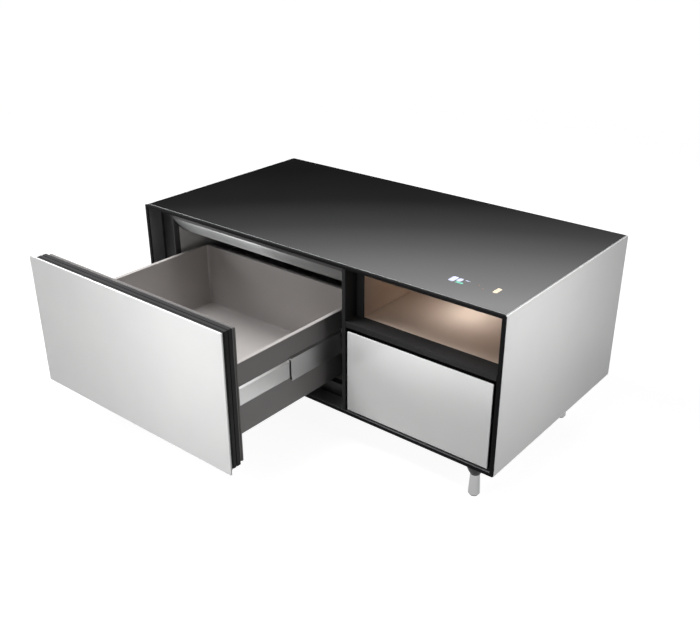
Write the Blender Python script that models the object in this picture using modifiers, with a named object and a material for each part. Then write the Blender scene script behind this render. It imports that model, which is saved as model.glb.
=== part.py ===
"""Refrigerator coffee table.

A low glass-covered cabinet on four short chrome legs. The left part is a foam
insulated cold drawer on telescopic slides, drawn out here as it stands on show.
The right part is an open lit niche over a shallow dry drawer, with the
compressor, condenser and fan in a vented room behind them.

Metres, +Z up, front of the table towards -Y. The origin lies on the floor,
under the middle of the space that the table takes with its cold drawer drawn out.
"""
from math import cos, pi, sin, tau

import bmesh
import bpy
from mathutils import Matrix, Vector

# Overall size
WIDTH = 1.100
DEPTH = 0.585
BODY_HEIGHT = 0.385
LEG_HEIGHT = 0.080
REST_PULL = 0.3645
TOUCH = 0.0003
OVERRUN = 0.004
EDGE_ROUND = 0.0008

# Glass
TOP_GLASS = 0.005
SIDE_GLASS = 0.004
GLASS_ROUND = 0.0012

# Black front frame: stiles, rails and its thin front flange
STILE = 0.0105
RAIL_TOP = 0.003
RAIL_BOTTOM = 0.0105
FRAME_DEPTH = 0.0425
FLANGE = 0.003
TOP_LIP = 0.008
NICHE_OPENING = 0.3987
SHELF_TOP = 0.249
SHELF_RAIL = 0.0145

# Carcass sheets
WALL = 0.005
BASE_PLATE = 0.002
DECK = 0.008
REAR_PLATE = 0.002
BULKHEAD = 0.005
MACHINE_ROOM = 0.2557

# Drawer fronts
FRONT_GAP = 0.0055
FRONT_GLASS = 0.004
COLD_GRIP_GAP = 0.0213
DRY_GRIP_GAP = 0.0094
FRONT_FRAME_DEPTH = 0.0342
FRONT_INSET_SIDE = 0.0095
FRONT_INSET_END = 0.005
FRONT_FRAME_WALL = 0.009
FRONT_PAN = 0.002
GROOVE = 0.0025
GROOVE_DEPTH = 0.0015
GROOVE_SHARES = (0.30, 0.62)

# Gasket on the cold drawer's front
GASKET_INSET = 0.002
GASKET_WIDTH = 0.008
GASKET_CLEARANCE = 0.0006

# Insulated cabinet
FOAM_SETBACK = 0.050
CAVITY_BOTTOM = 0.0398
CEILING_FOAM = 0.0134
BACK_FOAM = 0.0427
MOUTH_LIP = 0.015
LINER = 0.002

# Curved cover under the cavity's ceiling
COVER_LIP = 0.002
COVER_DROP = 0.073
COVER_RUN = 0.079
COVER_SHEET = 0.0015
COVER_BEND = 0.022
COVER_STEPS = 5

# Cold bin
BIN_INSET = 0.0474
BIN_FLOOR = 0.0605
BIN_RIM_ROOM = 0.0304
BIN_BACK_ROOM = 0.0232
BIN_WALL = 0.0025
BIN_LIP = 0.006
BIN_LIP_THICK = 0.002

# Telescopic slides: runner on the drawer, middle member, cabinet member
SLIDE_WIDTH = 0.0138
RUNNER_HEIGHT = 0.048
RUNNER_THICK = 0.0042
RACE = 0.004
MEMBER_WEB = 0.0016
MEMBER_CLEARANCE = 0.0004
MEMBER_STEP = 0.0044
COLD_SLIDE_SETBACK = 0.0045
COLD_SLIDE_BACK_ROOM = 0.0335
COLD_SLIDE_RISE = 0.006
DRY_SLIDE_WIDTH = 0.0156
DRY_SLIDE_BACK_ROOM = 0.0389
DRY_SLIDE_DROP = 0.0225
DRY_RUNNER_HEIGHT = 0.030

# Dry drawer box
DRY_BOX_FLOOR = 0.030
DRY_BOX_RIM_DROP = 0.0401
DRY_BOX_BACK_ROOM = 0.0382
DRY_BOX_WALL = 0.004

# Niche
BEZEL = 0.003
BEZEL_LEFT = 0.0193
BEZEL_RIGHT = 0.0155
NICHE_SHEET = 0.003
NICHE_BACK_ROOM = 0.0109
LED_BACK_ROOM = 0.032
LED_WIDTH = 0.014
LED_HEIGHT = 0.007
LED_SETBACK = 0.115

# Touch panel under the glass, near the right front corner
TOUCH_CENTRE_FROM_RIGHT = 0.144
TOUCH_CENTRE_FROM_FRONT = 0.092
TOUCH_LENGTH = 0.170
TOUCH_WIDTH = 0.045
TOUCH_THICK = 0.004

# Legs
LEG_INSET_SIDE = 0.0555
LEG_INSET_FRONT = 0.022
LEG_INSET_REAR = 0.144
COLLAR_HEIGHT = 0.0235
COLLAR_TOP_RADIUS = 0.0212
COLLAR_LOW_RADIUS = 0.0125
COLLAR_ROUND = 0.003
LEG_TOP_RADIUS = 0.0106
LEG_FOOT_RADIUS = 0.0137
LEG_ROUND = 0.0025
PAD_THICK = 0.003
PAD_RADIUS = 0.0105
ROUND_SIDES = 28

# Compressor
COMPRESSOR_FROM_LEFT = 0.1039
COMPRESSOR_FROM_BULKHEAD = 0.125
COMPRESSOR_RADIUS = 0.056
COMPRESSOR_HEIGHT = 0.135
COMPRESSOR_FOOT = 0.012
COMPRESSOR_FOOT_PLATE = 0.003
COMPRESSOR_SHOULDER = 0.030

# Condenser and fan
CONDENSER_FROM_RIGHT = 0.0959
CONDENSER_WIDTH = 0.150
CONDENSER_HEIGHT = 0.140
CONDENSER_THICK = 0.030
CONDENSER_FROM_BULKHEAD = 0.098
FIN = 0.002
FIN_PITCH = 0.0125
FIN_SLOT_DEPTH = 0.010
FAN_SIZE = 0.120
FAN_THICK = 0.025
FAN_BORE = 0.057
FAN_FROM_CONDENSER = 0.025
FAN_AXIS_Z = 0.085
FAN_HUB_RADIUS = 0.019
FAN_MOTOR_RADIUS = 0.017
FAN_MOTOR_THICK = 0.008
FAN_ARM = 0.006
FAN_HUB_DEPTH = 0.0155
FAN_BLADES = 7
FAN_BLADE_REACH = 0.0545
FAN_BLADE_THICK = 0.0015
FAN_BLADE_CHORD = 0.015
FAN_BLADE_TILT = 0.62

# Evaporator over the curved cover
EVAPORATOR_SIDE_ROOM = 0.066
EVAPORATOR_BACK_ROOM = 0.035
EVAPORATOR_WIDTH = 0.110
EVAPORATOR_HEIGHT = 0.066
EVAPORATOR_PITCH = 0.023
EVAPORATOR_FIN = 0.003
EVAPORATOR_CORE = 0.030

# Refrigerant pipes
PIPE_RADIUS = 0.004
PIPE_BEND = 0.018
PIPE_BEND_STEPS = 4
PIPE_HOLE_ROOM = 0.0006
DISCHARGE_Z = 0.060

# Electrics
MODULE_FROM_RIGHT = 0.1004
MODULE_FROM_TOP = 0.0864
MODULE_LENGTH = 0.130
MODULE_HEIGHT = 0.075
MODULE_THICK = 0.038
MODULE_RIB = 0.004
INLET_FROM_LEFT = 0.0489
INLET_Z = 0.050
INLET_WIDTH = 0.028
INLET_HEIGHT = 0.021
INLET_DEPTH = 0.022
INLET_WALL = 0.002
INLET_FLOOR = 0.005
PIN_RADIUS = 0.0018
PIN_LENGTH = 0.011
PIN_PITCH = 0.007
PIN_OFFSET = 0.0035

# Rear vents
VENT_WIDTH = 0.130
VENT_HEIGHT = 0.005
VENT_PITCH = 0.014
VENT_ROWS = 9
VENT_FIRST_Z = 0.030
INTAKE_WIDTH = 0.080
INTAKE_ROWS = 4
INTAKE_FROM_TOP = 0.1264

# Places worked out from the sizes above
CABINET_Y = REST_PULL / 2
FRONT_Y = CABINET_Y - DEPTH / 2
BACK_Y = CABINET_Y + DEPTH / 2
BASE_Z = LEG_HEIGHT
TOP_Z = LEG_HEIGHT + BODY_HEIGHT
HALF = WIDTH / 2
GLASS_INNER = HALF - SIDE_GLASS
FRAME_HALF = GLASS_INNER - TOUCH
WALL_INNER = FRAME_HALF - WALL
OPENING_HALF = HALF - STILE
DECK_TOP = TOP_Z - TOP_GLASS - TOUCH
OPENING_TOP = DECK_TOP - RAIL_TOP
OPENING_BOTTOM = BASE_Z + RAIL_BOTTOM
FRAME_BACK = FRONT_Y + FRAME_DEPTH
DIVIDER_RIGHT = OPENING_HALF - NICHE_OPENING
DIVIDER_LEFT = DIVIDER_RIGHT - STILE
SHELF_Z = BASE_Z + SHELF_TOP
SHELF_LOW = SHELF_Z - SHELF_RAIL
CARCASS_FRONT = FRAME_BACK + TOUCH
CARCASS_BACK = BACK_Y - REAR_PLATE - TOUCH
FLOOR_TOP = BASE_Z + BASE_PLATE
ROOM_TOP = DECK_TOP - DECK - TOUCH
PARTITION_LEFT = DIVIDER_LEFT + TOUCH
PARTITION_RIGHT = DIVIDER_RIGHT
BAY_LEFT = PARTITION_RIGHT + TOUCH
BAY_RIGHT = WALL_INNER - TOUCH
BULKHEAD_BACK = CARCASS_BACK - MACHINE_ROOM
BULKHEAD_FRONT = BULKHEAD_BACK - BULKHEAD

COLD_LEFT = -OPENING_HALF + FRONT_GAP
COLD_RIGHT = DIVIDER_LEFT - FRONT_GAP
COLD_MIDDLE = (COLD_LEFT + COLD_RIGHT) / 2
COLD_TOP = OPENING_TOP - COLD_GRIP_GAP
FACE_BOTTOM = OPENING_BOTTOM + FRONT_GAP
DRY_LEFT = DIVIDER_RIGHT + FRONT_GAP
DRY_RIGHT = OPENING_HALF - FRONT_GAP
DRY_MIDDLE = (DRY_LEFT + DRY_RIGHT) / 2
DRY_TOP = SHELF_LOW - DRY_GRIP_GAP
COLD_FACE = FRONT_Y - REST_PULL
DRY_FACE = FRONT_Y
FRONT_THICK = FRONT_GLASS + TOUCH + FRONT_FRAME_DEPTH

BIN_LEFT = COLD_LEFT + BIN_INSET
BIN_RIGHT = COLD_RIGHT - BIN_INSET
FOAM_LEFT = -WALL_INNER + TOUCH
FOAM_RIGHT = DIVIDER_LEFT - TOUCH
FOAM_FRONT = FRONT_Y + FOAM_SETBACK
FOAM_LOW = FLOOR_TOP + TOUCH
CAVITY_LEFT = BIN_LEFT - SLIDE_WIDTH - TOUCH
CAVITY_RIGHT = BIN_RIGHT + SLIDE_WIDTH + TOUCH
CAVITY_LOW = BASE_Z + CAVITY_BOTTOM
CAVITY_CEILING = ROOM_TOP - CEILING_FOAM
MOUTH_TOP = CAVITY_CEILING - MOUTH_LIP
CAVITY_BACK = CARCASS_BACK - BACK_FOAM
COVER_LEVEL = MOUTH_TOP + COVER_LIP - COVER_DROP
BIN_FRONT = COLD_FACE + FRONT_THICK + TOUCH
BIN_BACK = CAVITY_BACK - BIN_BACK_ROOM - REST_PULL
BIN_LOW = BASE_Z + BIN_FLOOR
BIN_RIM = COVER_LEVEL - BIN_RIM_ROOM
COLD_SLIDE_FRONT = FOAM_FRONT + LINER + COLD_SLIDE_SETBACK
COLD_SLIDE_LENGTH = CAVITY_BACK - COLD_SLIDE_BACK_ROOM - COLD_SLIDE_FRONT
COLD_SLIDE_Z = (BIN_LOW + BIN_RIM) / 2 + COLD_SLIDE_RISE
EVAPORATOR_LOW = COVER_LEVEL + COVER_SHEET / 2 + TOUCH
SUCTION_Z = EVAPORATOR_LOW + EVAPORATOR_HEIGHT / 2

DRY_BOX_LEFT = BAY_LEFT + DRY_SLIDE_WIDTH + TOUCH
DRY_BOX_RIGHT = BAY_RIGHT - DRY_SLIDE_WIDTH - TOUCH
DRY_BOX_FRONT = DRY_FACE + FRONT_THICK + TOUCH
DRY_BOX_BACK = BULKHEAD_FRONT - DRY_BOX_BACK_ROOM
DRY_BOX_LOW = BASE_Z + DRY_BOX_FLOOR
DRY_BOX_RIM = DRY_TOP - DRY_BOX_RIM_DROP
DRY_SLIDE_FRONT = CARCASS_FRONT + TOUCH
DRY_SLIDE_LENGTH = BULKHEAD_FRONT - DRY_SLIDE_BACK_ROOM - DRY_SLIDE_FRONT
DRY_SLIDE_Z = (DRY_BOX_LOW + DRY_BOX_RIM) / 2 - DRY_SLIDE_DROP

COMPRESSOR_X = BAY_LEFT + COMPRESSOR_FROM_LEFT
COMPRESSOR_Y = BULKHEAD_BACK + COMPRESSOR_FROM_BULKHEAD
CONDENSER_X = BAY_RIGHT - CONDENSER_FROM_RIGHT
CONDENSER_Y = BULKHEAD_BACK + CONDENSER_FROM_BULKHEAD
FAN_Y = CONDENSER_Y + CONDENSER_THICK + FAN_FROM_CONDENSER
MODULE_X = BAY_RIGHT - MODULE_FROM_RIGHT
MODULE_Z = ROOM_TOP - MODULE_FROM_TOP
INLET_X = BAY_LEFT + INLET_FROM_LEFT

parts = bpy.data.collections.new("refrigerator_coffee_table")
cutters = bpy.data.collections.new("cutters")


def clear_scene():
    for item in list(bpy.data.objects):
        bpy.data.objects.remove(item, do_unlink=True)
    for group in (parts, cutters):
        bpy.context.scene.collection.children.link(group)


def to_linear(channel):
    return channel / 12.92 if channel <= 0.04045 else ((channel + 0.055) / 1.055) ** 2.4


def make_material(name, hex_colour, roughness, metallic=0.0):
    """A Principled material from an sRGB hex colour."""
    material = bpy.data.materials.new(name)
    material.use_nodes = True
    shader = material.node_tree.nodes["Principled BSDF"]
    channels = [int(hex_colour[i:i + 2], 16) / 255 for i in (0, 2, 4)]
    shader.inputs["Base Color"].default_value = (*map(to_linear, channels), 1.0)
    shader.inputs["Roughness"].default_value = roughness
    shader.inputs["Metallic"].default_value = metallic
    material.diffuse_color = (*map(to_linear, channels), 1.0)
    return material


MATERIALS = {
    "black_glass": make_material("black_glass", "1c1c1d", 0.08),
    "white_glass": make_material("white_glass", "e4e4e3", 0.10),
    "black_aluminium": make_material("black_aluminium", "222224", 0.38, 0.6),
    "black_steel": make_material("black_steel", "1a1a1b", 0.55, 0.3),
    "black_board": make_material("black_board", "1d1d1e", 0.70),
    "zinc_steel": make_material("zinc_steel", "b9bcbe", 0.32, 1.0),
    "brushed_steel": make_material("brushed_steel", "c4c5c6", 0.28, 1.0),
    "grey_plastic": make_material("grey_plastic", "8b8783", 0.40),
    "liner_plastic": make_material("liner_plastic", "b4b5b6", 0.45),
    "foam": make_material("foam", "d9cda3", 0.90),
    "gasket_rubber": make_material("gasket_rubber", "2b2b2c", 0.75),
    "beige_laminate": make_material("beige_laminate", "9c8673", 0.55),
    "chrome": make_material("chrome", "d8d8d8", 0.12, 1.0),
    "black_plastic": make_material("black_plastic", "242425", 0.50),
    "warm_diffuser": make_material("warm_diffuser", "ffe2bd", 0.40),
    "copper": make_material("copper", "b8734c", 0.35, 1.0),
    "aluminium": make_material("aluminium", "c9cbcc", 0.40, 1.0),
    "circuit_board": make_material("circuit_board", "1e3d2b", 0.60),
}


def finish(item, material, group=None):
    """Puts an object in its collection and gives it its material."""
    (group or parts).objects.link(item)
    if material:
        item.data.materials.append(MATERIALS[material])
    if group is cutters:
        item.hide_render = True
        item.display_type = "WIRE"
    return item


def bevel(item, width, segments=1):
    modifier = item.modifiers.new("edge", "BEVEL")
    modifier.width = width
    modifier.segments = segments
    modifier.limit_method = "ANGLE"
    return item


def fill_box(mesh, low, high):
    """Adds a box between two corners to a bmesh."""
    low, high = Vector(low), Vector(high)
    size = high - low
    matrix = Matrix.Translation((low + high) / 2) @ Matrix.Diagonal((*size, 1.0))
    bmesh.ops.create_cube(mesh, size=1.0, matrix=matrix)


def block(name, low, high, material, round_edge=0.0):
    """A box between two corners, with its origin at its centre."""
    centre = (Vector(low) + Vector(high)) / 2
    mesh = bmesh.new()
    fill_box(mesh, Vector(low) - centre, Vector(high) - centre)
    data = bpy.data.meshes.new(name)
    mesh.to_mesh(data)
    mesh.free()
    item = bpy.data.objects.new(name, data)
    item.location = centre
    finish(item, material)
    if round_edge:
        bevel(item, round_edge)
    return item


def cutter_boxes(name, boxes):
    """One hidden object that holds any number of boxes apart from each other."""
    mesh = bmesh.new()
    for low, high in boxes:
        fill_box(mesh, low, high)
    data = bpy.data.meshes.new(name)
    mesh.to_mesh(data)
    mesh.free()
    return finish(bpy.data.objects.new(name, data), None, cutters)


def boolean(item, operation, tool):
    modifier = item.modifiers.new(operation.lower(), "BOOLEAN")
    modifier.operation = operation
    modifier.object = tool
    return item


def cut(item, boxes):
    return boolean(item, "DIFFERENCE", cutter_boxes(item.name + "_cut", boxes))


def add(item, boxes):
    """Joins boxes to a piece one at a time, so that each may touch the last."""
    for index, box in enumerate(boxes):
        boolean(item, "UNION", cutter_boxes(f"{item.name}_add_{index}", [box]))
    return item


def turned(name, profile, centre, material, sides=ROUND_SIDES, group=None):
    """A profile of (radius, height) pairs from top to bottom, screwed round Z."""
    data = bpy.data.meshes.new(name)
    points = [(radius, 0.0, height) for radius, height in profile]
    data.from_pydata(points, [(i, i + 1) for i in range(len(points) - 1)], [])
    item = bpy.data.objects.new(name, data)
    item.location = centre
    finish(item, material, group)
    screw = item.modifiers.new("screw", "SCREW")
    screw.steps = sides
    screw.render_steps = sides
    screw.use_merge_vertices = True
    screw.merge_threshold = TOUCH / 10
    screw.use_smooth_shade = True
    return item


def cylinder(name, radius, start, end, material, sides=ROUND_SIDES, group=None):
    """A cylinder from one point to another."""
    start, end = Vector(start), Vector(end)
    mesh = bmesh.new()
    bmesh.ops.create_cone(mesh, cap_ends=True, segments=sides, radius1=radius,
                          radius2=radius, depth=(end - start).length)
    data = bpy.data.meshes.new(name)
    mesh.to_mesh(data)
    mesh.free()
    item = bpy.data.objects.new(name, data)
    item.location = (start + end) / 2
    item.rotation_euler = (end - start).to_track_quat("Z", "Y").to_euler()
    return finish(item, material, group)


def joint_empty(name, place):
    empty = bpy.data.objects.new(name, None)
    empty.location = place
    parts.objects.link(empty)
    return empty


def carry(parent, items):
    for item in items:
        item.parent = parent
        item.location -= parent.location
    return items


def bend_route(corners, radius, steps):
    """Points of a route whose inner corners are turned into arcs of one radius."""
    corners = [Vector(corner) for corner in corners]
    route = [corners[0]]
    for before, corner, after in zip(corners, corners[1:], corners[2:]):
        way_in = (before - corner).normalized()
        way_out = (after - corner).normalized()
        centre = corner + (way_in + way_out) * radius
        for step in range(steps + 1):
            angle = step / steps * pi / 2
            route.append(centre - way_out * radius * cos(angle) - way_in * radius * sin(angle))
    route.append(corners[-1])
    return route


def pipe(name, corners, radius, material):
    """A round pipe along a route with square corners rounded off."""
    route = bend_route(corners, PIPE_BEND, PIPE_BEND_STEPS)
    curve = bpy.data.curves.new(name, "CURVE")
    curve.dimensions = "3D"
    curve.bevel_depth = radius
    curve.bevel_resolution = 1
    curve.use_fill_caps = True
    spline = curve.splines.new("POLY")
    spline.points.add(len(route) - 1)
    for point, place in zip(spline.points, route):
        point.co = (*place, 1.0)
    return finish(bpy.data.objects.new(name, curve), material)


def build_glass():
    reach = GLASS_INNER - TOUCH
    block("top_glass", (-reach, FRONT_Y + TOP_LIP + TOUCH, TOP_Z - TOP_GLASS), (reach, BACK_Y, TOP_Z),
          "black_glass", GLASS_ROUND)
    for side, sign in (("left", -1), ("right", 1)):
        edges = sorted((sign * GLASS_INNER, sign * HALF))
        block("side_glass_" + side, (edges[0], FRONT_Y + FLANGE + TOUCH, BASE_Z),
              (edges[1], BACK_Y, TOP_Z), "white_glass", GLASS_ROUND)


def build_front_frame():
    """The black ring round the openings, with its divider, shelf rail, flange, and lip before the glass."""
    frame = block("front_frame", (-FRAME_HALF, FRONT_Y, BASE_Z),
                  (FRAME_HALF, FRAME_BACK, DECK_TOP), "black_aluminium")
    add(frame, [((-HALF, FRONT_Y, BASE_Z), (HALF, FRONT_Y + FLANGE, TOP_Z)),
                ((-FRAME_HALF, FRONT_Y, DECK_TOP - RAIL_TOP / 2), (FRAME_HALF, FRONT_Y + TOP_LIP, TOP_Z))])
    front, back = FRONT_Y - OVERRUN, FRAME_BACK + OVERRUN
    cut(frame, [((-OPENING_HALF, front, OPENING_BOTTOM), (DIVIDER_LEFT, back, OPENING_TOP)),
                ((DIVIDER_RIGHT, front, SHELF_Z), (OPENING_HALF, back, OPENING_TOP)),
                ((DIVIDER_RIGHT, front, OPENING_BOTTOM), (OPENING_HALF, back, SHELF_LOW))])


def build_carcass():
    """Base, walls, deck, partition, bulkhead and the vented rear panel."""
    block("base_tray", (-FRAME_HALF, CARCASS_FRONT, BASE_Z),
          (FRAME_HALF, CARCASS_BACK, FLOOR_TOP), "black_steel", EDGE_ROUND)
    for side, sign in (("left", -1), ("right", 1)):
        edges = sorted((sign * WALL_INNER, sign * FRAME_HALF))
        block("wall_" + side, (edges[0], CARCASS_FRONT, FLOOR_TOP + TOUCH),
              (edges[1], CARCASS_BACK, ROOM_TOP), "black_board")
    deck = block("top_deck", (-FRAME_HALF, CARCASS_FRONT, ROOM_TOP + TOUCH),
                 (FRAME_HALF, CARCASS_BACK, DECK_TOP), "black_board")
    low, high = touch_panel_corners(TOUCH)
    cut(deck, [(low, (high[0], high[1], DECK_TOP + OVERRUN))])
    block("partition", (PARTITION_LEFT, CARCASS_FRONT, FLOOR_TOP + TOUCH),
          (PARTITION_RIGHT, CARCASS_BACK, ROOM_TOP), "black_board")
    block("bulkhead", (BAY_LEFT, BULKHEAD_FRONT, FLOOR_TOP + TOUCH),
          (BAY_RIGHT, BULKHEAD_BACK, ROOM_TOP), "black_board")
    build_rear_panel()


def vent_boxes(middle, width, first_z, rows):
    boxes = []
    for row in range(rows):
        low = first_z + row * VENT_PITCH
        boxes.append(((middle - width / 2, CARCASS_BACK - OVERRUN, low),
                      (middle + width / 2, BACK_Y + OVERRUN, low + VENT_HEIGHT)))
    return boxes


def inlet_corners(room):
    """Corners of the power inlet's body, grown by a little room."""
    middle_z = BASE_Z + INLET_Z
    return ((INLET_X - INLET_WIDTH / 2 - room, BACK_Y - INLET_DEPTH, middle_z - INLET_HEIGHT / 2 - room),
            (INLET_X + INLET_WIDTH / 2 + room, BACK_Y, middle_z + INLET_HEIGHT / 2 + room))


def build_rear_panel():
    panel = block("rear_panel", (-FRAME_HALF, BACK_Y - REAR_PLATE, BASE_Z),
                  (FRAME_HALF, BACK_Y, DECK_TOP), "black_steel")
    low, high = inlet_corners(TOUCH)
    holes = vent_boxes(CONDENSER_X, VENT_WIDTH, BASE_Z + VENT_FIRST_Z, VENT_ROWS)
    holes += vent_boxes(COMPRESSOR_X, INTAKE_WIDTH, ROOM_TOP - INTAKE_FROM_TOP, INTAKE_ROWS)
    holes.append((low, (high[0], high[1] + OVERRUN, high[2])))
    cut(panel, holes)


def touch_panel_corners(room):
    """Corners of the touch board's pocket in the deck, grown by a little room."""
    middle = Vector((HALF - TOUCH_CENTRE_FROM_RIGHT, FRONT_Y + TOUCH_CENTRE_FROM_FRONT))
    reach = Vector((TOUCH_LENGTH / 2 + room, TOUCH_WIDTH / 2 + room))
    return ((*(middle - reach), DECK_TOP - TOUCH_THICK - room), (*(middle + reach), DECK_TOP))


def build_touch_panel():
    low, high = touch_panel_corners(0)
    block("touch_board", low, high, "circuit_board")


def pipe_hole(name, start, end):
    return cylinder(name, PIPE_RADIUS + PIPE_HOLE_ROOM, start, end, None, ROUND_SIDES // 2, cutters)


def build_cold_cabinet():
    """Foam body and the thin liner with its front sealing flange."""
    foam_front = FOAM_FRONT + LINER + TOUCH
    shell = LINER + TOUCH
    foam = block("foam_body", (FOAM_LEFT, foam_front, FOAM_LOW), (FOAM_RIGHT, CARCASS_BACK, ROOM_TOP), "foam")
    cut(foam, [((CAVITY_LEFT - shell, foam_front - OVERRUN, CAVITY_LOW - shell),
                (CAVITY_RIGHT + shell, CAVITY_BACK + shell, CAVITY_CEILING + shell))])
    liner = block("cabinet_liner", (FOAM_LEFT, FOAM_FRONT, FOAM_LOW),
                  (FOAM_RIGHT, FOAM_FRONT + LINER, ROOM_TOP), "liner_plastic")
    add(liner, [((CAVITY_LEFT - LINER, FOAM_FRONT, CAVITY_LOW - LINER),
                 (CAVITY_RIGHT + LINER, CAVITY_BACK + LINER, CAVITY_CEILING + LINER))])
    cut(liner, [((CAVITY_LEFT, FOAM_FRONT + LINER, CAVITY_LOW),
                 (CAVITY_RIGHT, CAVITY_BACK, CAVITY_CEILING))])
    boolean(liner, "DIFFERENCE", cutter_boxes(
        "liner_mouth", [((CAVITY_LEFT, FOAM_FRONT - OVERRUN, CAVITY_LOW),
                         (CAVITY_RIGHT, FOAM_FRONT + LINER + OVERRUN, MOUTH_TOP))]))
    hole = pipe_hole("suction_hole", (CAVITY_RIGHT - OVERRUN, COMPRESSOR_Y, SUCTION_Z),
                     (PARTITION_RIGHT + OVERRUN, COMPRESSOR_Y, SUCTION_Z))
    for name in ("foam_body", "cabinet_liner", "partition"):
        boolean(bpy.data.objects[name], "DIFFERENCE", hole)


def cover_profile():
    """The curved cover's section: down and back from the mouth, round a bend, then level."""
    start = Vector((FOAM_FRONT + LINER + TOUCH + COVER_SHEET / 2, MOUTH_TOP + COVER_LIP))
    knee = Vector((start.x + COVER_RUN, COVER_LEVEL))
    slope = (knee - start).normalized()
    level = Vector((1.0, 0.0))
    points = [start]
    for step in range(COVER_STEPS + 1):
        share = step / COVER_STEPS
        first = knee - slope * COVER_BEND * (1 - share)
        second = knee + level * COVER_BEND * share
        points.append(first.lerp(second, share))
    points.append(Vector((CAVITY_BACK - TOUCH, knee.y)))
    return points


def build_ceiling_cover():
    """A steel sheet bent along the profile and carried across the cavity."""
    left, right = CAVITY_LEFT + TOUCH, CAVITY_RIGHT - TOUCH
    middle = (left + right) / 2
    mesh = bmesh.new()
    spine = [mesh.verts.new((left - middle, y, z)) for y, z in cover_profile()]
    edges = [mesh.edges.new(pair) for pair in zip(spine, spine[1:])]
    swept = bmesh.ops.extrude_edge_only(mesh, edges=edges)
    moved = [v for v in swept["geom"] if isinstance(v, bmesh.types.BMVert)]
    bmesh.ops.translate(mesh, verts=moved, vec=(right - left, 0, 0))
    data = bpy.data.meshes.new("ceiling_cover")
    mesh.to_mesh(data)
    mesh.free()
    item = bpy.data.objects.new("ceiling_cover", data)
    item.location.x = middle
    finish(item, "brushed_steel")
    sheet = item.modifiers.new("sheet", "SOLIDIFY")
    sheet.thickness = COVER_SHEET
    sheet.offset = 0
    sheet.use_even_offset = True


def fin_boxes(low, high, pitch, fin, depth):
    """Slots between upright fins along X, cut into the top and the bottom of a block."""
    boxes = []
    count = int((high[0] - low[0] - fin) / pitch)
    spare = (high[0] - low[0] - fin - count * pitch) / 2
    for index in range(count):
        left = low[0] + spare + fin + index * pitch
        right = left + pitch - fin
        for lower, upper in ((high[2] - depth, high[2] + OVERRUN), (low[2] - OVERRUN, low[2] + depth)):
            boxes.append(((left, low[1] - OVERRUN, lower), (right, high[1] + OVERRUN, upper)))
    return boxes


def build_evaporator():
    back = CAVITY_BACK - EVAPORATOR_BACK_ROOM
    low = (CAVITY_LEFT + EVAPORATOR_SIDE_ROOM, back - EVAPORATOR_WIDTH, EVAPORATOR_LOW)
    high = (CAVITY_RIGHT - EVAPORATOR_SIDE_ROOM, back, EVAPORATOR_LOW + EVAPORATOR_HEIGHT)
    core = (EVAPORATOR_HEIGHT - EVAPORATOR_CORE) / 2
    cut(block("evaporator", low, high, "aluminium"),
        fin_boxes(low, high, EVAPORATOR_PITCH, EVAPORATOR_FIN, core))


def build_niche():
    left, right = DIVIDER_RIGHT + BEZEL_LEFT, OPENING_HALF - BEZEL_RIGHT
    ceiling = ROOM_TOP - NICHE_SHEET
    bezel_back = CARCASS_FRONT + BEZEL
    bezel = block("niche_bezel", (BAY_LEFT, CARCASS_FRONT, SHELF_LOW),
                  (BAY_RIGHT, bezel_back, ROOM_TOP), "black_aluminium")
    cut(bezel, [((left, CARCASS_FRONT - OVERRUN, SHELF_Z), (right, bezel_back + OVERRUN, ceiling))])
    front, back = bezel_back + TOUCH, BULKHEAD_FRONT - NICHE_BACK_ROOM
    liner = block("niche_liner", (left - NICHE_SHEET, front, SHELF_Z - NICHE_SHEET),
                  (right + NICHE_SHEET, back, ceiling + NICHE_SHEET), "beige_laminate")
    cut(liner, [((left, front - OVERRUN, SHELF_Z), (right, back - NICHE_SHEET, ceiling))])
    middle, lamp_back = (left + right) / 2, back - NICHE_SHEET - LED_BACK_ROOM
    block("led_lamp", (middle - LED_WIDTH / 2, front + LED_SETBACK, ceiling - LED_HEIGHT),
          (middle + LED_WIDTH / 2, lamp_back, ceiling - TOUCH), "warm_diffuser", EDGE_ROUND)


def slide_heights(runner_height):
    """Heights of runner, middle member and cabinet member, nested one in the next."""
    middle = runner_height + 2 * (MEMBER_CLEARANCE + RACE)
    return runner_height, middle, middle + 2 * (MEMBER_CLEARANCE + RACE)


def channel(name, web_x, lip_x, start, length, centre_z, height, material):
    """A C-shaped slide member: a web at web_x whose lips reach towards lip_x."""
    inward = 1 if lip_x > web_x else -1
    low_x, high_x = sorted((web_x, lip_x))
    item = block(name, (low_x, start, centre_z - height / 2),
                 (high_x, start + length, centre_z + height / 2), material)
    hollow = sorted((web_x + inward * MEMBER_WEB, lip_x + inward * OVERRUN))
    cut(item, [((hollow[0], start - OVERRUN, centre_z - height / 2 + RACE),
                (hollow[1], start + length + OVERRUN, centre_z + height / 2 - RACE))])
    return item


def slide(prefix, side, drawer_x, wall_x, runner_height, centre_z, length, starts):
    """One telescopic slide between a drawer's side and the wall beside it.

    starts gives the front ends of the cabinet member, the middle member and the runner.
    """
    outward = 1 if wall_x > drawer_x else -1
    heights = slide_heights(runner_height)
    runner_x = sorted((drawer_x + outward * TOUCH, drawer_x + outward * (TOUCH + RUNNER_THICK)))
    runner = block(f"{prefix}_runner_{side}", (runner_x[0], starts[2], centre_z - heights[0] / 2),
                   (runner_x[1], starts[2] + length, centre_z + heights[0] / 2), "zinc_steel", EDGE_ROUND)
    cabinet_web = wall_x - outward * TOUCH
    middle_web = cabinet_web - outward * MEMBER_STEP
    lip = drawer_x + outward * 2 * TOUCH
    middle = channel(f"{prefix}_middle_{side}", middle_web, lip, starts[1], length, centre_z,
                     heights[1], "zinc_steel")
    channel(f"{prefix}_rail_{side}", cabinet_web, lip + outward * MEMBER_WEB, starts[0], length, centre_z,
            heights[2], "zinc_steel")
    return middle, runner


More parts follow.
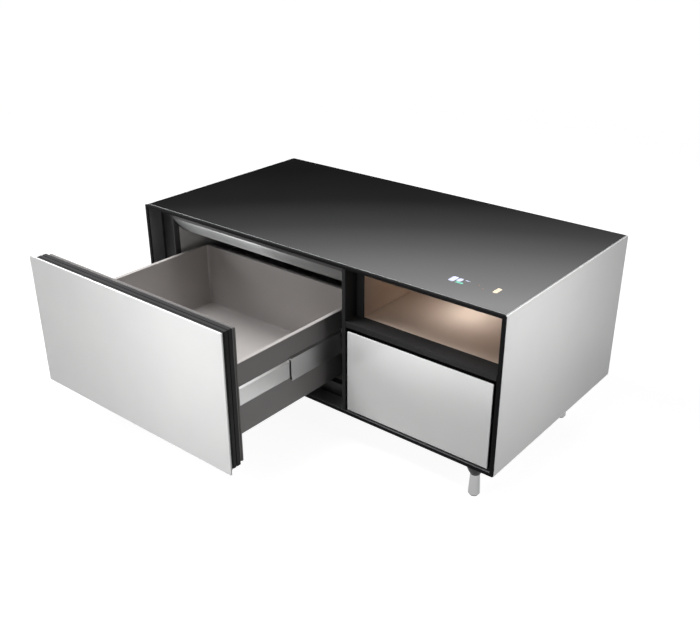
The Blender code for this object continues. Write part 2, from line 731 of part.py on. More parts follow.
def cut_groove(frame, low, high, at):
    """Cuts one groove all round the outside of a frame, at a distance back from its front."""
    ring = cutter_boxes(frame.name + "_groove", [((low[0] - OVERRUN, at, low[2] - OVERRUN),
                                                  (high[0] + OVERRUN, at + GROOVE, high[2] + OVERRUN))])
    cut(ring, [((low[0] + GROOVE_DEPTH, at - OVERRUN, low[2] + GROOVE_DEPTH),
                (high[0] - GROOVE_DEPTH, at + GROOVE + OVERRUN, high[2] - GROOVE_DEPTH))])
    boolean(frame, "DIFFERENCE", ring)


def drawer_front(prefix, left, right, low, top, face):
    """White glass, and behind it the grooved black frame round a pan that faces inwards."""
    glass = block(prefix + "_front_glass", (left, face, low), (right, face + FRONT_GLASS, top),
                  "white_glass", GLASS_ROUND)
    front = face + FRONT_GLASS + TOUCH
    back = face + FRONT_THICK
    outer = ((left + FRONT_INSET_SIDE, front, low + FRONT_INSET_END),
             (right - FRONT_INSET_SIDE, back, top - FRONT_INSET_END))
    frame = block(prefix + "_front_frame", *outer, "black_aluminium")
    inner = ((outer[0][0] + FRONT_FRAME_WALL, front - OVERRUN, outer[0][2] + FRONT_FRAME_WALL),
             (outer[1][0] - FRONT_FRAME_WALL, back + OVERRUN, outer[1][2] - FRONT_FRAME_WALL))
    cut(frame, [inner])
    for share in GROOVE_SHARES:
        cut_groove(frame, *outer, front + share * FRONT_FRAME_DEPTH)
    pan_low = (inner[0][0] + TOUCH, front, inner[0][2] + TOUCH)
    pan_high = (inner[1][0] - TOUCH, back, inner[1][2] - TOUCH)
    pan = block(prefix + "_front_pan", pan_low, pan_high, "grey_plastic")
    cut(pan, [((pan_low[0] + FRONT_PAN, front - OVERRUN, pan_low[2] + FRONT_PAN),
               (pan_high[0] - FRONT_PAN, back - FRONT_PAN, pan_high[2] - FRONT_PAN))])
    return [glass, frame, pan]


def tray(name, left, right, front, back, floor, rim, wall, material):
    """An open-topped sheet box."""
    item = block(name, (left, front, floor), (right, back, rim), material)
    return cut(item, [((left + wall, front + wall, floor + wall),
                       (right - wall, back - wall, rim + OVERRUN))])


def add_lip(cold_bin):
    """A flat lip that turns outwards along the sides and the back of the bin's rim."""
    low = BIN_RIM - BIN_LIP_THICK
    inner = BIN_WALL / 2
    left, right, back = BIN_LEFT - BIN_LIP, BIN_RIGHT + BIN_LIP, BIN_BACK + BIN_LIP
    add(cold_bin, [((left, BIN_FRONT, low), (BIN_LEFT + inner, back, BIN_RIM)),
                   ((BIN_RIGHT - inner, BIN_FRONT, low), (right, back, BIN_RIM)),
                   ((left, BIN_BACK - inner, low), (right, back, BIN_RIM))])


def build_cold_drawer():
    pieces = drawer_front("cold", COLD_LEFT, COLD_RIGHT, FACE_BOTTOM, COLD_TOP, COLD_FACE)
    cold_bin = tray("cold_bin", BIN_LEFT, BIN_RIGHT, BIN_FRONT, BIN_BACK, BIN_LOW, BIN_RIM, BIN_WALL,
                    "grey_plastic")
    add_lip(cold_bin)
    pieces.append(cold_bin)
    pieces.append(build_gasket())
    starts = (COLD_SLIDE_FRONT, COLD_SLIDE_FRONT - REST_PULL / 2, COLD_SLIDE_FRONT - REST_PULL)
    sides = (("left", BIN_LEFT, CAVITY_LEFT), ("right", BIN_RIGHT, CAVITY_RIGHT))
    slides = [slide("cold", side, drawer_x, wall_x, RUNNER_HEIGHT, COLD_SLIDE_Z, COLD_SLIDE_LENGTH, starts)
              for side, drawer_x, wall_x in sides]
    pieces += [runner for middle, runner in slides]
    axis = joint_empty("cold_drawer_axis", (COLD_MIDDLE, COLD_SLIDE_FRONT - REST_PULL, COLD_SLIDE_Z))
    carry(axis, pieces)
    carry(joint_empty("cold_middle_axis", (COLD_MIDDLE, COLD_SLIDE_FRONT - REST_PULL / 2, COLD_SLIDE_Z)),
          [middle for middle, runner in slides])


def build_gasket():
    """The soft seal ring on the back of the cold drawer's front."""
    front = COLD_FACE + FRONT_THICK + TOUCH
    depth = FOAM_SETBACK - FRONT_THICK - TOUCH - GASKET_CLEARANCE
    inset_side = FRONT_INSET_SIDE + GASKET_INSET
    inset_end = FRONT_INSET_END + GASKET_INSET
    outer = ((COLD_LEFT + inset_side, front, FACE_BOTTOM + inset_end),
             (COLD_RIGHT - inset_side, front + depth, COLD_TOP - inset_end))
    gasket = block("cold_gasket", *outer, "gasket_rubber")
    return cut(gasket, [((outer[0][0] + GASKET_WIDTH, front - OVERRUN, outer[0][2] + GASKET_WIDTH),
                         (outer[1][0] - GASKET_WIDTH, front + depth + OVERRUN, outer[1][2] - GASKET_WIDTH))])


def build_dry_drawer():
    pieces = drawer_front("dry", DRY_LEFT, DRY_RIGHT, FACE_BOTTOM, DRY_TOP, DRY_FACE)
    pieces.append(tray("dry_box", DRY_BOX_LEFT, DRY_BOX_RIGHT, DRY_BOX_FRONT, DRY_BOX_BACK, DRY_BOX_LOW,
                       DRY_BOX_RIM, DRY_BOX_WALL, "black_plastic"))
    start = DRY_SLIDE_FRONT
    sides = (("left", DRY_BOX_LEFT, BAY_LEFT), ("right", DRY_BOX_RIGHT, BAY_RIGHT))
    slides = [slide("dry", side, drawer_x, wall_x, DRY_RUNNER_HEIGHT, DRY_SLIDE_Z, DRY_SLIDE_LENGTH,
                    (start, start, start)) for side, drawer_x, wall_x in sides]
    pieces += [runner for middle, runner in slides]
    carry(joint_empty("dry_drawer_axis", (DRY_MIDDLE, start, DRY_SLIDE_Z)), pieces)
    carry(joint_empty("dry_middle_axis", (DRY_MIDDLE, start + TOUCH, DRY_SLIDE_Z)),
          [middle for middle, runner in slides])


def build_legs():
    """A flared collar, a slightly flared chrome tube and a thin pad at each corner."""
    leg_top = -COLLAR_HEIGHT
    leg_low = PAD_THICK - LEG_HEIGHT
    for end, y in (("front", FRONT_Y + LEG_INSET_FRONT), ("rear", BACK_Y - LEG_INSET_REAR)):
        for side, sign in (("left", -1), ("right", 1)):
            centre = (sign * (HALF - LEG_INSET_SIDE), y, BASE_Z - TOUCH)
            name = f"{end}_{side}"
            turned("collar_" + name,
                   [(0, 0), (COLLAR_TOP_RADIUS, 0), (COLLAR_LOW_RADIUS, COLLAR_ROUND - COLLAR_HEIGHT),
                    (COLLAR_LOW_RADIUS - COLLAR_ROUND, -COLLAR_HEIGHT), (0, -COLLAR_HEIGHT)],
                   centre, "black_plastic")
            turned("leg_" + name,
                   [(0, leg_top - TOUCH), (LEG_TOP_RADIUS, leg_top - TOUCH),
                    (LEG_FOOT_RADIUS, leg_low + TOUCH + LEG_ROUND),
                    (LEG_FOOT_RADIUS - LEG_ROUND, leg_low + TOUCH), (0, leg_low + TOUCH)],
                   centre, "chrome")
            sole = TOUCH - LEG_HEIGHT
            turned("pad_" + name, [(0, leg_low), (PAD_RADIUS, leg_low), (PAD_RADIUS, sole), (0, sole)],
                   centre, "black_plastic")


def build_compressor():
    """A welded steel shell on a foot plate."""
    centre = (COMPRESSOR_X, COMPRESSOR_Y, FLOOR_TOP + TOUCH)
    shell_low = COMPRESSOR_FOOT
    shell_top = COMPRESSOR_FOOT + COMPRESSOR_HEIGHT
    straight = shell_top - COMPRESSOR_SHOULDER
    profile = [(0, shell_top)]
    for step in range(1, COVER_STEPS + 1):
        angle = step / COVER_STEPS * pi / 2
        profile.append((COMPRESSOR_RADIUS * sin(angle), straight + COMPRESSOR_SHOULDER * cos(angle)))
    profile += [(COMPRESSOR_RADIUS, shell_low + COMPRESSOR_FOOT_PLATE), (COMPRESSOR_FOOT, 0), (0, 0)]
    shell = turned("compressor", profile, centre, "black_steel")
    middle = Vector(centre)
    reach = Vector((COMPRESSOR_RADIUS + COMPRESSOR_FOOT, COMPRESSOR_RADIUS, 0))
    add(shell, [(middle - reach, middle + reach + Vector((0, 0, COMPRESSOR_FOOT_PLATE)))])


def build_condenser():
    low = (CONDENSER_X - CONDENSER_WIDTH / 2, CONDENSER_Y, FLOOR_TOP + TOUCH)
    high = (low[0] + CONDENSER_WIDTH, low[1] + CONDENSER_THICK, low[2] + CONDENSER_HEIGHT)
    item = block("condenser", low, high, "aluminium")
    depths = ((low[1] - OVERRUN, low[1] + FIN_SLOT_DEPTH), (high[1] - FIN_SLOT_DEPTH, high[1] + OVERRUN))
    boxes = []
    count = int((CONDENSER_WIDTH - FIN) / FIN_PITCH)
    for index in range(count):
        left = low[0] + FIN + index * FIN_PITCH
        right = left + FIN_PITCH - FIN
        for near, far in depths:
            boxes.append(((left, near, low[2] + FIN_SLOT_DEPTH), (right, far, high[2] - FIN_SLOT_DEPTH)))
    cut(item, boxes)


def build_fan():
    """A square shroud with a motor on four arms, and the rotor on its axis along Y."""
    shroud_front = FAN_Y
    shroud_back = FAN_Y + FAN_THICK
    axis_z = FLOOR_TOP + TOUCH + FAN_AXIS_Z
    half = FAN_SIZE / 2
    shroud = block("fan_shroud", (CONDENSER_X - half, shroud_front, axis_z - half),
                   (CONDENSER_X + half, shroud_back, axis_z + half), "black_plastic")
    foot = (CONDENSER_X - half, shroud_front, FLOOR_TOP + TOUCH), (CONDENSER_X + half, shroud_back, axis_z)
    add(shroud, [foot])
    bore_ends = ((CONDENSER_X, shroud_front - OVERRUN, axis_z), (CONDENSER_X, shroud_back + OVERRUN, axis_z))
    boolean(shroud, "DIFFERENCE", cylinder("fan_bore", FAN_BORE, *bore_ends, None, ROUND_SIDES, cutters))
    arm_front = shroud_back - FAN_MOTOR_THICK
    arms = (((CONDENSER_X - FAN_BORE - OVERRUN, arm_front, axis_z - FAN_ARM / 2),
             (CONDENSER_X + FAN_BORE + OVERRUN, shroud_back, axis_z + FAN_ARM / 2)),
            ((CONDENSER_X - FAN_ARM / 2, arm_front, axis_z - FAN_BORE - OVERRUN),
             (CONDENSER_X + FAN_ARM / 2, shroud_back, axis_z + FAN_BORE + OVERRUN)))
    add(shroud, arms)
    motor_ends = ((CONDENSER_X, arm_front - TOUCH, axis_z), (CONDENSER_X, shroud_back, axis_z))
    boolean(shroud, "UNION", cylinder("fan_motor", FAN_MOTOR_RADIUS, *motor_ends, None, ROUND_SIDES, cutters))
    hub_back = arm_front - 2 * TOUCH
    hub_front = hub_back - FAN_HUB_DEPTH
    hub_ends = ((CONDENSER_X, hub_back, axis_z), (CONDENSER_X, hub_front, axis_z))
    rotor = cylinder("fan_rotor", FAN_HUB_RADIUS, *hub_ends, "black_plastic")
    middle = (hub_front + hub_back) / 2
    for blade in range(FAN_BLADES):
        boolean(rotor, "UNION", fan_blade(blade, (CONDENSER_X, middle, axis_z)))


def fan_blade(index, centre):
    """A flat blade set askew to the axis, rooted inside the hub."""
    half = Vector((0, FAN_BLADE_CHORD / 2, FAN_BLADE_THICK / 2))
    tool = cutter_boxes(f"fan_blade_{index}", [(Vector((FAN_HUB_RADIUS / 2, 0, 0)) - half,
                                                Vector((FAN_BLADE_REACH, 0, 0)) + half)])
    turn = Matrix.Rotation(index / FAN_BLADES * tau, 4, "Y") @ Matrix.Rotation(FAN_BLADE_TILT, 4, "X")
    tool.matrix_world = Matrix.Translation(centre) @ turn
    return tool


def build_pipes():
    """Suction pipe from the evaporator, and discharge pipe to the condenser."""
    shell_top = FLOOR_TOP + TOUCH + COMPRESSOR_FOOT + COMPRESSOR_HEIGHT
    evaporator_end = CAVITY_RIGHT - EVAPORATOR_SIDE_ROOM
    suction = [(evaporator_end + TOUCH, COMPRESSOR_Y, SUCTION_Z), (COMPRESSOR_X, COMPRESSOR_Y, SUCTION_Z),
               (COMPRESSOR_X, COMPRESSOR_Y, shell_top + TOUCH)]
    pipe("suction_pipe", suction, PIPE_RADIUS, "copper")
    low_z = BASE_Z + DISCHARGE_Z
    condenser_left = CONDENSER_X - CONDENSER_WIDTH / 2
    condenser_y = CONDENSER_Y + CONDENSER_THICK / 2
    cylinder("discharge_pipe", PIPE_RADIUS, (COMPRESSOR_X + COMPRESSOR_RADIUS + TOUCH, condenser_y, low_z),
             (condenser_left - TOUCH, condenser_y, low_z), "copper", ROUND_SIDES // 2)


def build_electrics():
    """Power module on the bulkhead and the recessed inlet in the rear panel."""
    low = (MODULE_X - MODULE_LENGTH / 2, BULKHEAD_BACK + TOUCH, MODULE_Z - MODULE_HEIGHT / 2)
    high = (MODULE_X + MODULE_LENGTH / 2, BULKHEAD_BACK + TOUCH + MODULE_THICK, MODULE_Z + MODULE_HEIGHT / 2)
    block("power_module", low, high, "black_plastic", MODULE_RIB / 2)
    low, high = inlet_corners(0)
    inlet = block("power_inlet", low, high, "black_plastic")
    recess = ((low[0] + INLET_WALL, low[1] + INLET_FLOOR, low[2] + INLET_WALL),
              (high[0] - INLET_WALL, high[1] + OVERRUN, high[2] - INLET_WALL))
    cut(inlet, [recess])
    middle_z = BASE_Z + INLET_Z
    floor_y = low[1] + INLET_FLOOR
    for index, shift in enumerate((-1, 0, 1)):
        pin_z = middle_z + (PIN_OFFSET if shift == 0 else -PIN_OFFSET)
        pin_x = INLET_X + shift * PIN_PITCH
        pin_ends = ((pin_x, floor_y - INLET_WALL, pin_z), (pin_x, floor_y + PIN_LENGTH, pin_z))
        pin = cylinder(f"inlet_pin_{index}", PIN_RADIUS, *pin_ends, None, ROUND_SIDES // 2, cutters)
        boolean(inlet, "UNION", pin)


def main():
    clear_scene()
    build_glass()
    build_front_frame()
    build_carcass()
    build_touch_panel()
    build_cold_cabinet()
    build_ceiling_cover()
    build_evaporator()
    build_niche()
    build_cold_drawer()
    build_dry_drawer()
    build_legs()
    build_compressor()
    build_condenser()
    build_fan()
    build_pipes()
    build_electrics()


main()
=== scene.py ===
import bmesh
import bpy
import numpy as np
from bpy.props import FloatProperty, FloatVectorProperty, IntProperty, PointerProperty
from mathutils import Matrix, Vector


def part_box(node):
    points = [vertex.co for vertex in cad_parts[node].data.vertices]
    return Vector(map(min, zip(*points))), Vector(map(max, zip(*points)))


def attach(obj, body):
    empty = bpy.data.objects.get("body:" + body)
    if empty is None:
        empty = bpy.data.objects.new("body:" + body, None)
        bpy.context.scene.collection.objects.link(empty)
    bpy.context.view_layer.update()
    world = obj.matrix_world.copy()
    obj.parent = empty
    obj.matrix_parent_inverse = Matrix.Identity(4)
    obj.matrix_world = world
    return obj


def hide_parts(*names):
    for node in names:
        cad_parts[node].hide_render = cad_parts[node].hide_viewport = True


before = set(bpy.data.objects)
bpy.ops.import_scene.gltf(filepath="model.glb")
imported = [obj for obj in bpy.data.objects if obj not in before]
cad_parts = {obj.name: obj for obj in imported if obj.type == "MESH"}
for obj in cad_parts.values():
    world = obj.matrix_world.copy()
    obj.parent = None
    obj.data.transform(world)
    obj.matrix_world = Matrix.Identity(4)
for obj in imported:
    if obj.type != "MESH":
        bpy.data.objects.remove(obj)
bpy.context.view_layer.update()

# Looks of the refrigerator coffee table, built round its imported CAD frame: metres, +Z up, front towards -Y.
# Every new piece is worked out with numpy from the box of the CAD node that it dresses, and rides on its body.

bl_info = {
    "name": "Refrigerator Coffee Table",
    "version": (1, 0, 0),
    "blender": (4, 5, 0),
    "location": "View3D > Sidebar > Coffee Table",
    "description": "Builds the visible pieces and finishes of a coffee table with a cold drawer",
    "category": "Add Mesh",
}

CAD = {name: tuple(np.array(corner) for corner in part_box(name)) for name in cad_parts}

# Places of the CAD frame that no node's box gives
FLANGE, TOP_LIP = 0.003, 0.008
OPENING_HALF, OPENING_LOW, OPENING_HIGH = 0.5395, 0.0905, 0.4567
DIVIDER, SHELF = (0.1303, 0.1408), (0.3145, 0.329)
GROOVE_SHARES, GROOVE, GROOVE_DEPTH = (0.30, 0.62), 0.0025, 0.0015
FRAME_WALL = 0.009
CAVITY_LOW, CAVITY_HIGH = (-0.5007, -0.05825, 0.1198), (0.0915, 0.42975, 0.438)
MOUTH_TOP, COVER_LEVEL, BREAKER = 0.423, 0.352, 0.018
# The last of these is the thickness of the darker skin that paints shade on the bin's outer walls
BIN_WALL, BIN_LIP, BIN_LIP_THICK, BIN_SHADE_SKIN = 0.0045, 0.006, 0.002, 0.001
NICHE_SHEET = 0.003
FAN_HALF, FAN_BORE, BLADE_ROOT, BLADE_TIP = 0.060, 0.057, 0.016, 0.054
PIPE_RADIUS = 0.004

SEAM = 0.0003  # gap between two pieces that meet
MARK = 0.0001  # height of the touch marks over the glass
POINT = 1e-6  # radius that stands for a point on an axis


# Shapes: a shape is its points and a list of face tables, one table for each number of corners

def arc(radius, steps):
    """A quarter turn in rows of (way in, way up): r (1 - sin t), r (1 - cos t)."""
    turn = np.linspace(0, np.pi / 2, steps + 1)
    return radius * np.stack([1 - np.sin(turn), 1 - np.cos(turn)], -1)


def outline(low, high, corner, steps=4):
    """Rounded rectangles, one for each row: corner centre + r (cos t, sin t), quarter after quarter."""
    low, high = np.atleast_2d(low), np.atleast_2d(high)
    radius = np.broadcast_to(corner, len(low)).astype(float)[:, None, None]
    angle = (np.arange(4)[:, None] * np.pi / 2 + np.linspace(0, np.pi / 2, steps + 1)).ravel()
    side = np.repeat([[True, True], [False, True], [False, False], [True, False]], steps + 1, axis=0)
    centre = np.where(side, high[:, None] - radius, low[:, None] + radius)
    return centre + radius * np.stack([np.cos(angle), np.sin(angle)], -1)


def lift(flat, axis, level):
    """Flat rings (k, n, 2) set across an axis, ring i at level i along it."""
    rings = np.empty((*flat.shape[:2], 3))
    rings[..., [(axis + 1) % 3, (axis + 2) % 3]] = flat
    rings[..., axis] = np.reshape(level, (-1, 1))
    return rings


def contour(low, high, axis, section, corner, steps=4):
    """Rings round a box: ring i is the box's outline across the axis, drawn in by section[i][0], at section[i][1]."""
    section = np.asarray(section, float)
    across = [(axis + 1) % 3, (axis + 2) % 3]
    low, high = np.asarray(low, float), np.asarray(high, float)
    rounding = np.clip(corner - section[:, 0], 0, None)
    flat = outline(low[across] + section[:, :1], high[across] - section[:, :1], rounding, steps)
    return lift(flat, axis, section[:, 1])


def skin(rings, wrap=False):
    """Quads from each ring to the next; the last ring meets the first, or both ends get a flat face."""
    count, size = rings.shape[:2]
    row, column = np.meshgrid(np.arange(count if wrap else count - 1), np.arange(size), indexing="ij")
    after, beside = (row + 1) % count, (column + 1) % size
    quads = np.stack([row * size + column, row * size + beside, after * size + beside, after * size + column], -1)
    faces = [quads.reshape(-1, 4)]
    if not wrap:
        faces.append(np.stack([np.arange(size)[::-1], np.arange(size) + (count - 1) * size]))
    return rings.reshape(-1, 3), faces


def face(low, high):
    """The front rectangle of a box, as its (z, x) corners."""
    return np.array([[low[2], low[0]], [high[2], high[0]]])


def frames(rows, wrap=True):
    """A skin over rectangles across Y; each row gives one as (z, x) corners, its inset, its y and its rounding."""
    boxes, insets, levels, corners = (np.array(column, float) for column in zip(*rows))
    flat = outline(boxes[:, 0] + insets[:, None], boxes[:, 1] - insets[:, None], corners)
    return skin(lift(flat, 1, levels), wrap)


def soften(points, radius, steps=3, closed=True):
    """Rounds each corner P into P + r ((1 - t)^2 a + t^2 b), where a and b point along its two sides."""
    points = np.asarray(points, float)
    before, after = np.roll(points, 1, 0) - points, np.roll(points, -1, 0) - points
    lengths = np.stack([np.linalg.norm(before, axis=1), np.linalg.norm(after, axis=1)])
    reach = np.minimum(radius, lengths.min(0) * 0.48)
    if not closed:
        reach[[0, -1]] = 0
    share = np.linspace(0, 1, steps + 1)[:, None]
    before, after = before / lengths[0][:, None], after / lengths[1][:, None]
    bent = points[:, None] + reach[:, None, None] * ((1 - share) ** 2 * before[:, None] + share ** 2 * after[:, None])
    bent = bent.reshape(-1, points.shape[1])
    return bent[np.r_[True, np.linalg.norm(np.diff(bent, axis=0), axis=1) > 1e-8]]


def extruded(profile, axis, start, end):
    """A closed flat profile carried straight along an axis."""
    profile = np.asarray(profile, float)
    return skin(lift(np.stack([profile, profile]), axis, [start, end]))


def slab(low, high, axis, corner, edge, steps=4, edge_steps=3):
    """A rounded sheet: its edge goes in by e (1 - sin t) while it rises by e (1 - cos t), at both faces."""
    bend = arc(edge, edge_steps)
    section = np.concatenate([bend + (0, low[axis]), (bend * (1, -1) + (0, high[axis]))[::-1]])
    return skin(contour(low, high, axis, section, corner, steps))


def turned(profile, centre=(0, 0, 0), axis=2, sides=48):
    """A profile of (radius, height) rows carried round an axis, (r cos t, r sin t, h), and closed at both ends."""
    profile, centre = np.asarray(profile, float), np.asarray(centre, float)
    profile = np.concatenate([[(POINT, profile[0, 1])], profile, [(POINT, profile[-1, 1])]])
    angle = np.arange(sides) / sides * 2 * np.pi
    flat = profile[:, :1, None] * np.stack([np.cos(angle), np.sin(angle)], -1)
    return skin(lift(flat, axis, profile[:, 1]) + centre)


def tube(path, radius, sides=14):
    """A round tube: path point + r (cos t side + sin t up), side and up square to the path."""
    path = np.asarray(path, float)
    along = np.gradient(path, axis=0)
    along /= np.linalg.norm(along, axis=1, keepdims=True)
    side = np.cross(along, (0.36, 0.48, 0.8))
    side /= np.linalg.norm(side, axis=1, keepdims=True)
    up = np.cross(side, along)
    angle = (np.arange(sides) / sides * 2 * np.pi)[:, None]
    return skin(path[:, None] + radius * (np.cos(angle) * side[:, None] + np.sin(angle) * up[:, None]))


def winding(left, right, stops, axis, level, bend, radius):
    """A tube to and fro between left and right, one stop further along the axis after each run."""
    path = np.full((2 * len(stops), 3), level)
    path[:, 0] = np.tile([left, right, right, left], len(stops))[:len(path)]
    path[:, axis] = np.repeat(stops, 2)
    return tube(soften(path, bend, 6, closed=False), radius)


def repeated(points, faces):
    """Face tables of one shape for each of its moved copies (k, n, 3)."""
    shift = np.arange(len(points))[:, None, None] * points.shape[1]
    return points.reshape(-1, 3), [(table + shift).reshape(-1, table.shape[1]) for table in faces]


def copies(shape, offsets):
    """One shape repeated at every offset."""
    return repeated(shape[0] + np.asarray(offsets, float).reshape(-1, 1, 3), shape[1])


def spun(shape, centre, axis, angles):
    """One shape turned about an axis through a centre by every angle."""
    u, v = (axis + 1) % 3, (axis + 2) % 3
    turn = np.asarray(angles, float)[:, None]
    rest = shape[0] - centre
    moved = np.repeat(rest[None], len(turn), axis=0)
    moved[..., u] = rest[:, u] * np.cos(turn) - rest[:, v] * np.sin(turn)
    moved[..., v] = rest[:, u] * np.sin(turn) + rest[:, v] * np.cos(turn)
    return repeated(moved + centre, shape[1])


def screw_head(radius, height):
    """A low dome with a round recess, turned about +Y."""
    return turned(np.array([(1, 0), (1, 0.35), (0.8, 0.8), (0.45, 1), (0.4, 0.5)]) * (radius, height), axis=1,
                  sides=16)


def tub(low, high, wall, corner, fillet, lip, lip_thick):
    """A moulded tub with rounded corners, from under its floor up, over its rim and down inside.

    Each row gives how far the ring is drawn in, its height and its corner radius. A lip stands out to
    the left, the right and the back, and the front wall stays flat for the drawer's front.
    """
    base, rim, least = low[2], high[2], 0.001
    swing, drop = arc(fillet, 5).T[..., None]
    under = np.hstack([swing, base + drop, np.clip(corner - swing, least, None)])
    inner = np.hstack([wall + swing, base + wall + drop, np.clip(corner - wall - swing, least, None)])[::-1]
    edge, around = lip_thick / 2, np.linspace(-np.pi / 2, np.pi / 2, 6)[:, None]
    roll = np.hstack([-lip + edge - edge * np.cos(around), rim - edge + edge * np.sin(around),
                      np.full_like(around, corner + lip)])
    rows = np.concatenate([under, [[0, rim - lip_thick, corner]], roll, [[wall * 0.5, rim, corner]],
                           [[wall * 0.9, rim - wall * 0.15, corner - wall], [wall, rim - wall * 0.5, corner - wall]],
                           inner])
    inset, level, radius = rows.T
    lows = np.stack([low[0] + inset, low[1] + np.clip(inset, 0, None)], -1)
    highs = np.stack([high[0] - inset, high[1] - inset], -1)
    return skin(lift(outline(lows, highs, radius, 7), 2, level))


def piece(name, shapes, look, slot, nodes=(), body="cabinet", crease=38):
    """Makes one object of the shapes, with its faces outwards, and sets it on its CAD body."""
    points, polygons, shift = [], [], 0
    for corners, faces in shapes:
        points.append(corners)
        for table in faces:
            polygons += (table + shift).tolist()
        shift += len(corners)
    mesh = bpy.data.meshes.new(name)
    mesh.from_pydata(np.concatenate(points), [], polygons)
    work = bmesh.new()
    work.from_mesh(mesh)
    bmesh.ops.remove_doubles(work, verts=work.verts, dist=1e-7)
    bmesh.ops.recalc_face_normals(work, faces=work.faces)
    work.to_mesh(mesh)
    work.free()
    mesh.polygons.foreach_set("use_smooth", np.ones(len(mesh.polygons), bool))
    mesh.set_sharp_from_angle(angle=np.radians(crease))
    mesh.materials.append(FINISHES[look])
    made = bpy.data.objects.new(name, mesh)
    bpy.context.scene.collection.objects.link(made)
    made.modifiers.new("flat faces stay flat", "WEIGHTED_NORMAL").keep_sharp = True
    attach(made, body)
    if nodes:
        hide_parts(*nodes)
    return made


def dress(look, *nodes):
    """Gives CAD nodes, whose shapes stay, a finish."""
    for name in nodes:
        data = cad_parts[name].data
        data.materials.clear()
        data.materials.append(FINISHES[look])


# Finishes

FINISHES = {}


def linear(code):
    """sRGB hex to linear: c / 12.92 up to 0.04045, ((c + 0.055) / 1.055) ^ 2.4 above it."""
    channels = np.array([int(code[place:place + 2], 16) for place in (1, 3, 5)]) / 255
    values = np.where(channels <= 0.04045, channels / 12.92, ((channels + 0.055) / 1.055) ** 2.4)
    return (*values.tolist(), 1.0)


def add_node(tree, kind, settings=None, values=None, links=None):
    """Adds a node, with its settings, the values of its sockets and what feeds them: a node, by its first
    output, or a node and the name of its output."""
    made = tree.nodes.new("ShaderNode" + kind)
    for name, value in (settings or {}).items():
        setattr(made, name, value)
    for name, value in (values or {}).items():
        made.inputs[name].default_value = value
    for name, source in (links or {}).items():
        node, output = source if isinstance(source, tuple) else (source, 0)
        tree.links.new(node.outputs[output], made.inputs[name])
    return made


def empty_tree(owner):
    """The cleared node tree of a material or a world."""
    owner.use_nodes = True
    owner.node_tree.nodes.clear()
    return owner.node_tree


def finish(name, colours, roughness, grain_mm, relief_mm, stretch=(1, 1, 1), broad_mm=220, metallic=0.0,
           texture="TexNoise", output=0, shader=None, glow=None, brushed=None):
    """A surface with a fine grain and a broad, slow change.

    The grain is a texture on object coordinates whose features are grain_mm across, times stretch
    along each axis. It gives the relief and half of the roughness. The broad noise moves the colour
    from the first to the second, and gives the other half of the roughness. A brushed surface
    spreads its reflections round the axis that it is brushed along.
    """
    FINISHES[name] = bpy.data.materials.new(name)
    tree = empty_tree(FINISHES[name])
    place = add_node(tree, "TexCoord"), "Object"
    scale = [1000 / (grain_mm * along) for along in stretch]
    fine_place = add_node(tree, "Mapping", values={"Scale": scale}, links={"Vector": place})
    fine = add_node(tree, texture, values={"Scale": 1.0}, links={"Vector": fine_place}), output
    broad = add_node(tree, "TexNoise", values={"Scale": 1000 / broad_mm, "Detail": 3.0}, links={"Vector": place})
    both = add_node(tree, "Math", {"operation": "ADD"}, links={0: fine, 1: broad})
    low, high = roughness
    rough = add_node(tree, "MapRange", values={"From Min": 0.5, "From Max": 1.5, "To Min": low, "To Max": high},
                     links={"Value": both})
    colour = add_node(tree, "ValToRGB", links={"Fac": broad})
    for stop, code, at in zip(colour.color_ramp.elements, colours, (0.35, 0.65)):
        stop.color, stop.position = linear(code), at
    bump = add_node(tree, "Bump", values={"Strength": 1.0, "Distance": relief_mm / 1000}, links={"Height": fine})
    values = {"Metallic": metallic, **(shader or {})}
    if glow:
        values["Emission Color"], values["Emission Strength"] = glow
    coat = add_node(tree, "BsdfPrincipled", values=values,
                    links={"Base Color": colour, "Roughness": rough, "Normal": bump})
    if brushed:
        across = add_node(tree, "Tangent", {"direction_type": "RADIAL", "axis": brushed})
        tree.links.new(across.outputs["Tangent"], coat.inputs["Tangent"])
    add_node(tree, "OutputMaterial", links={"Surface": coat})


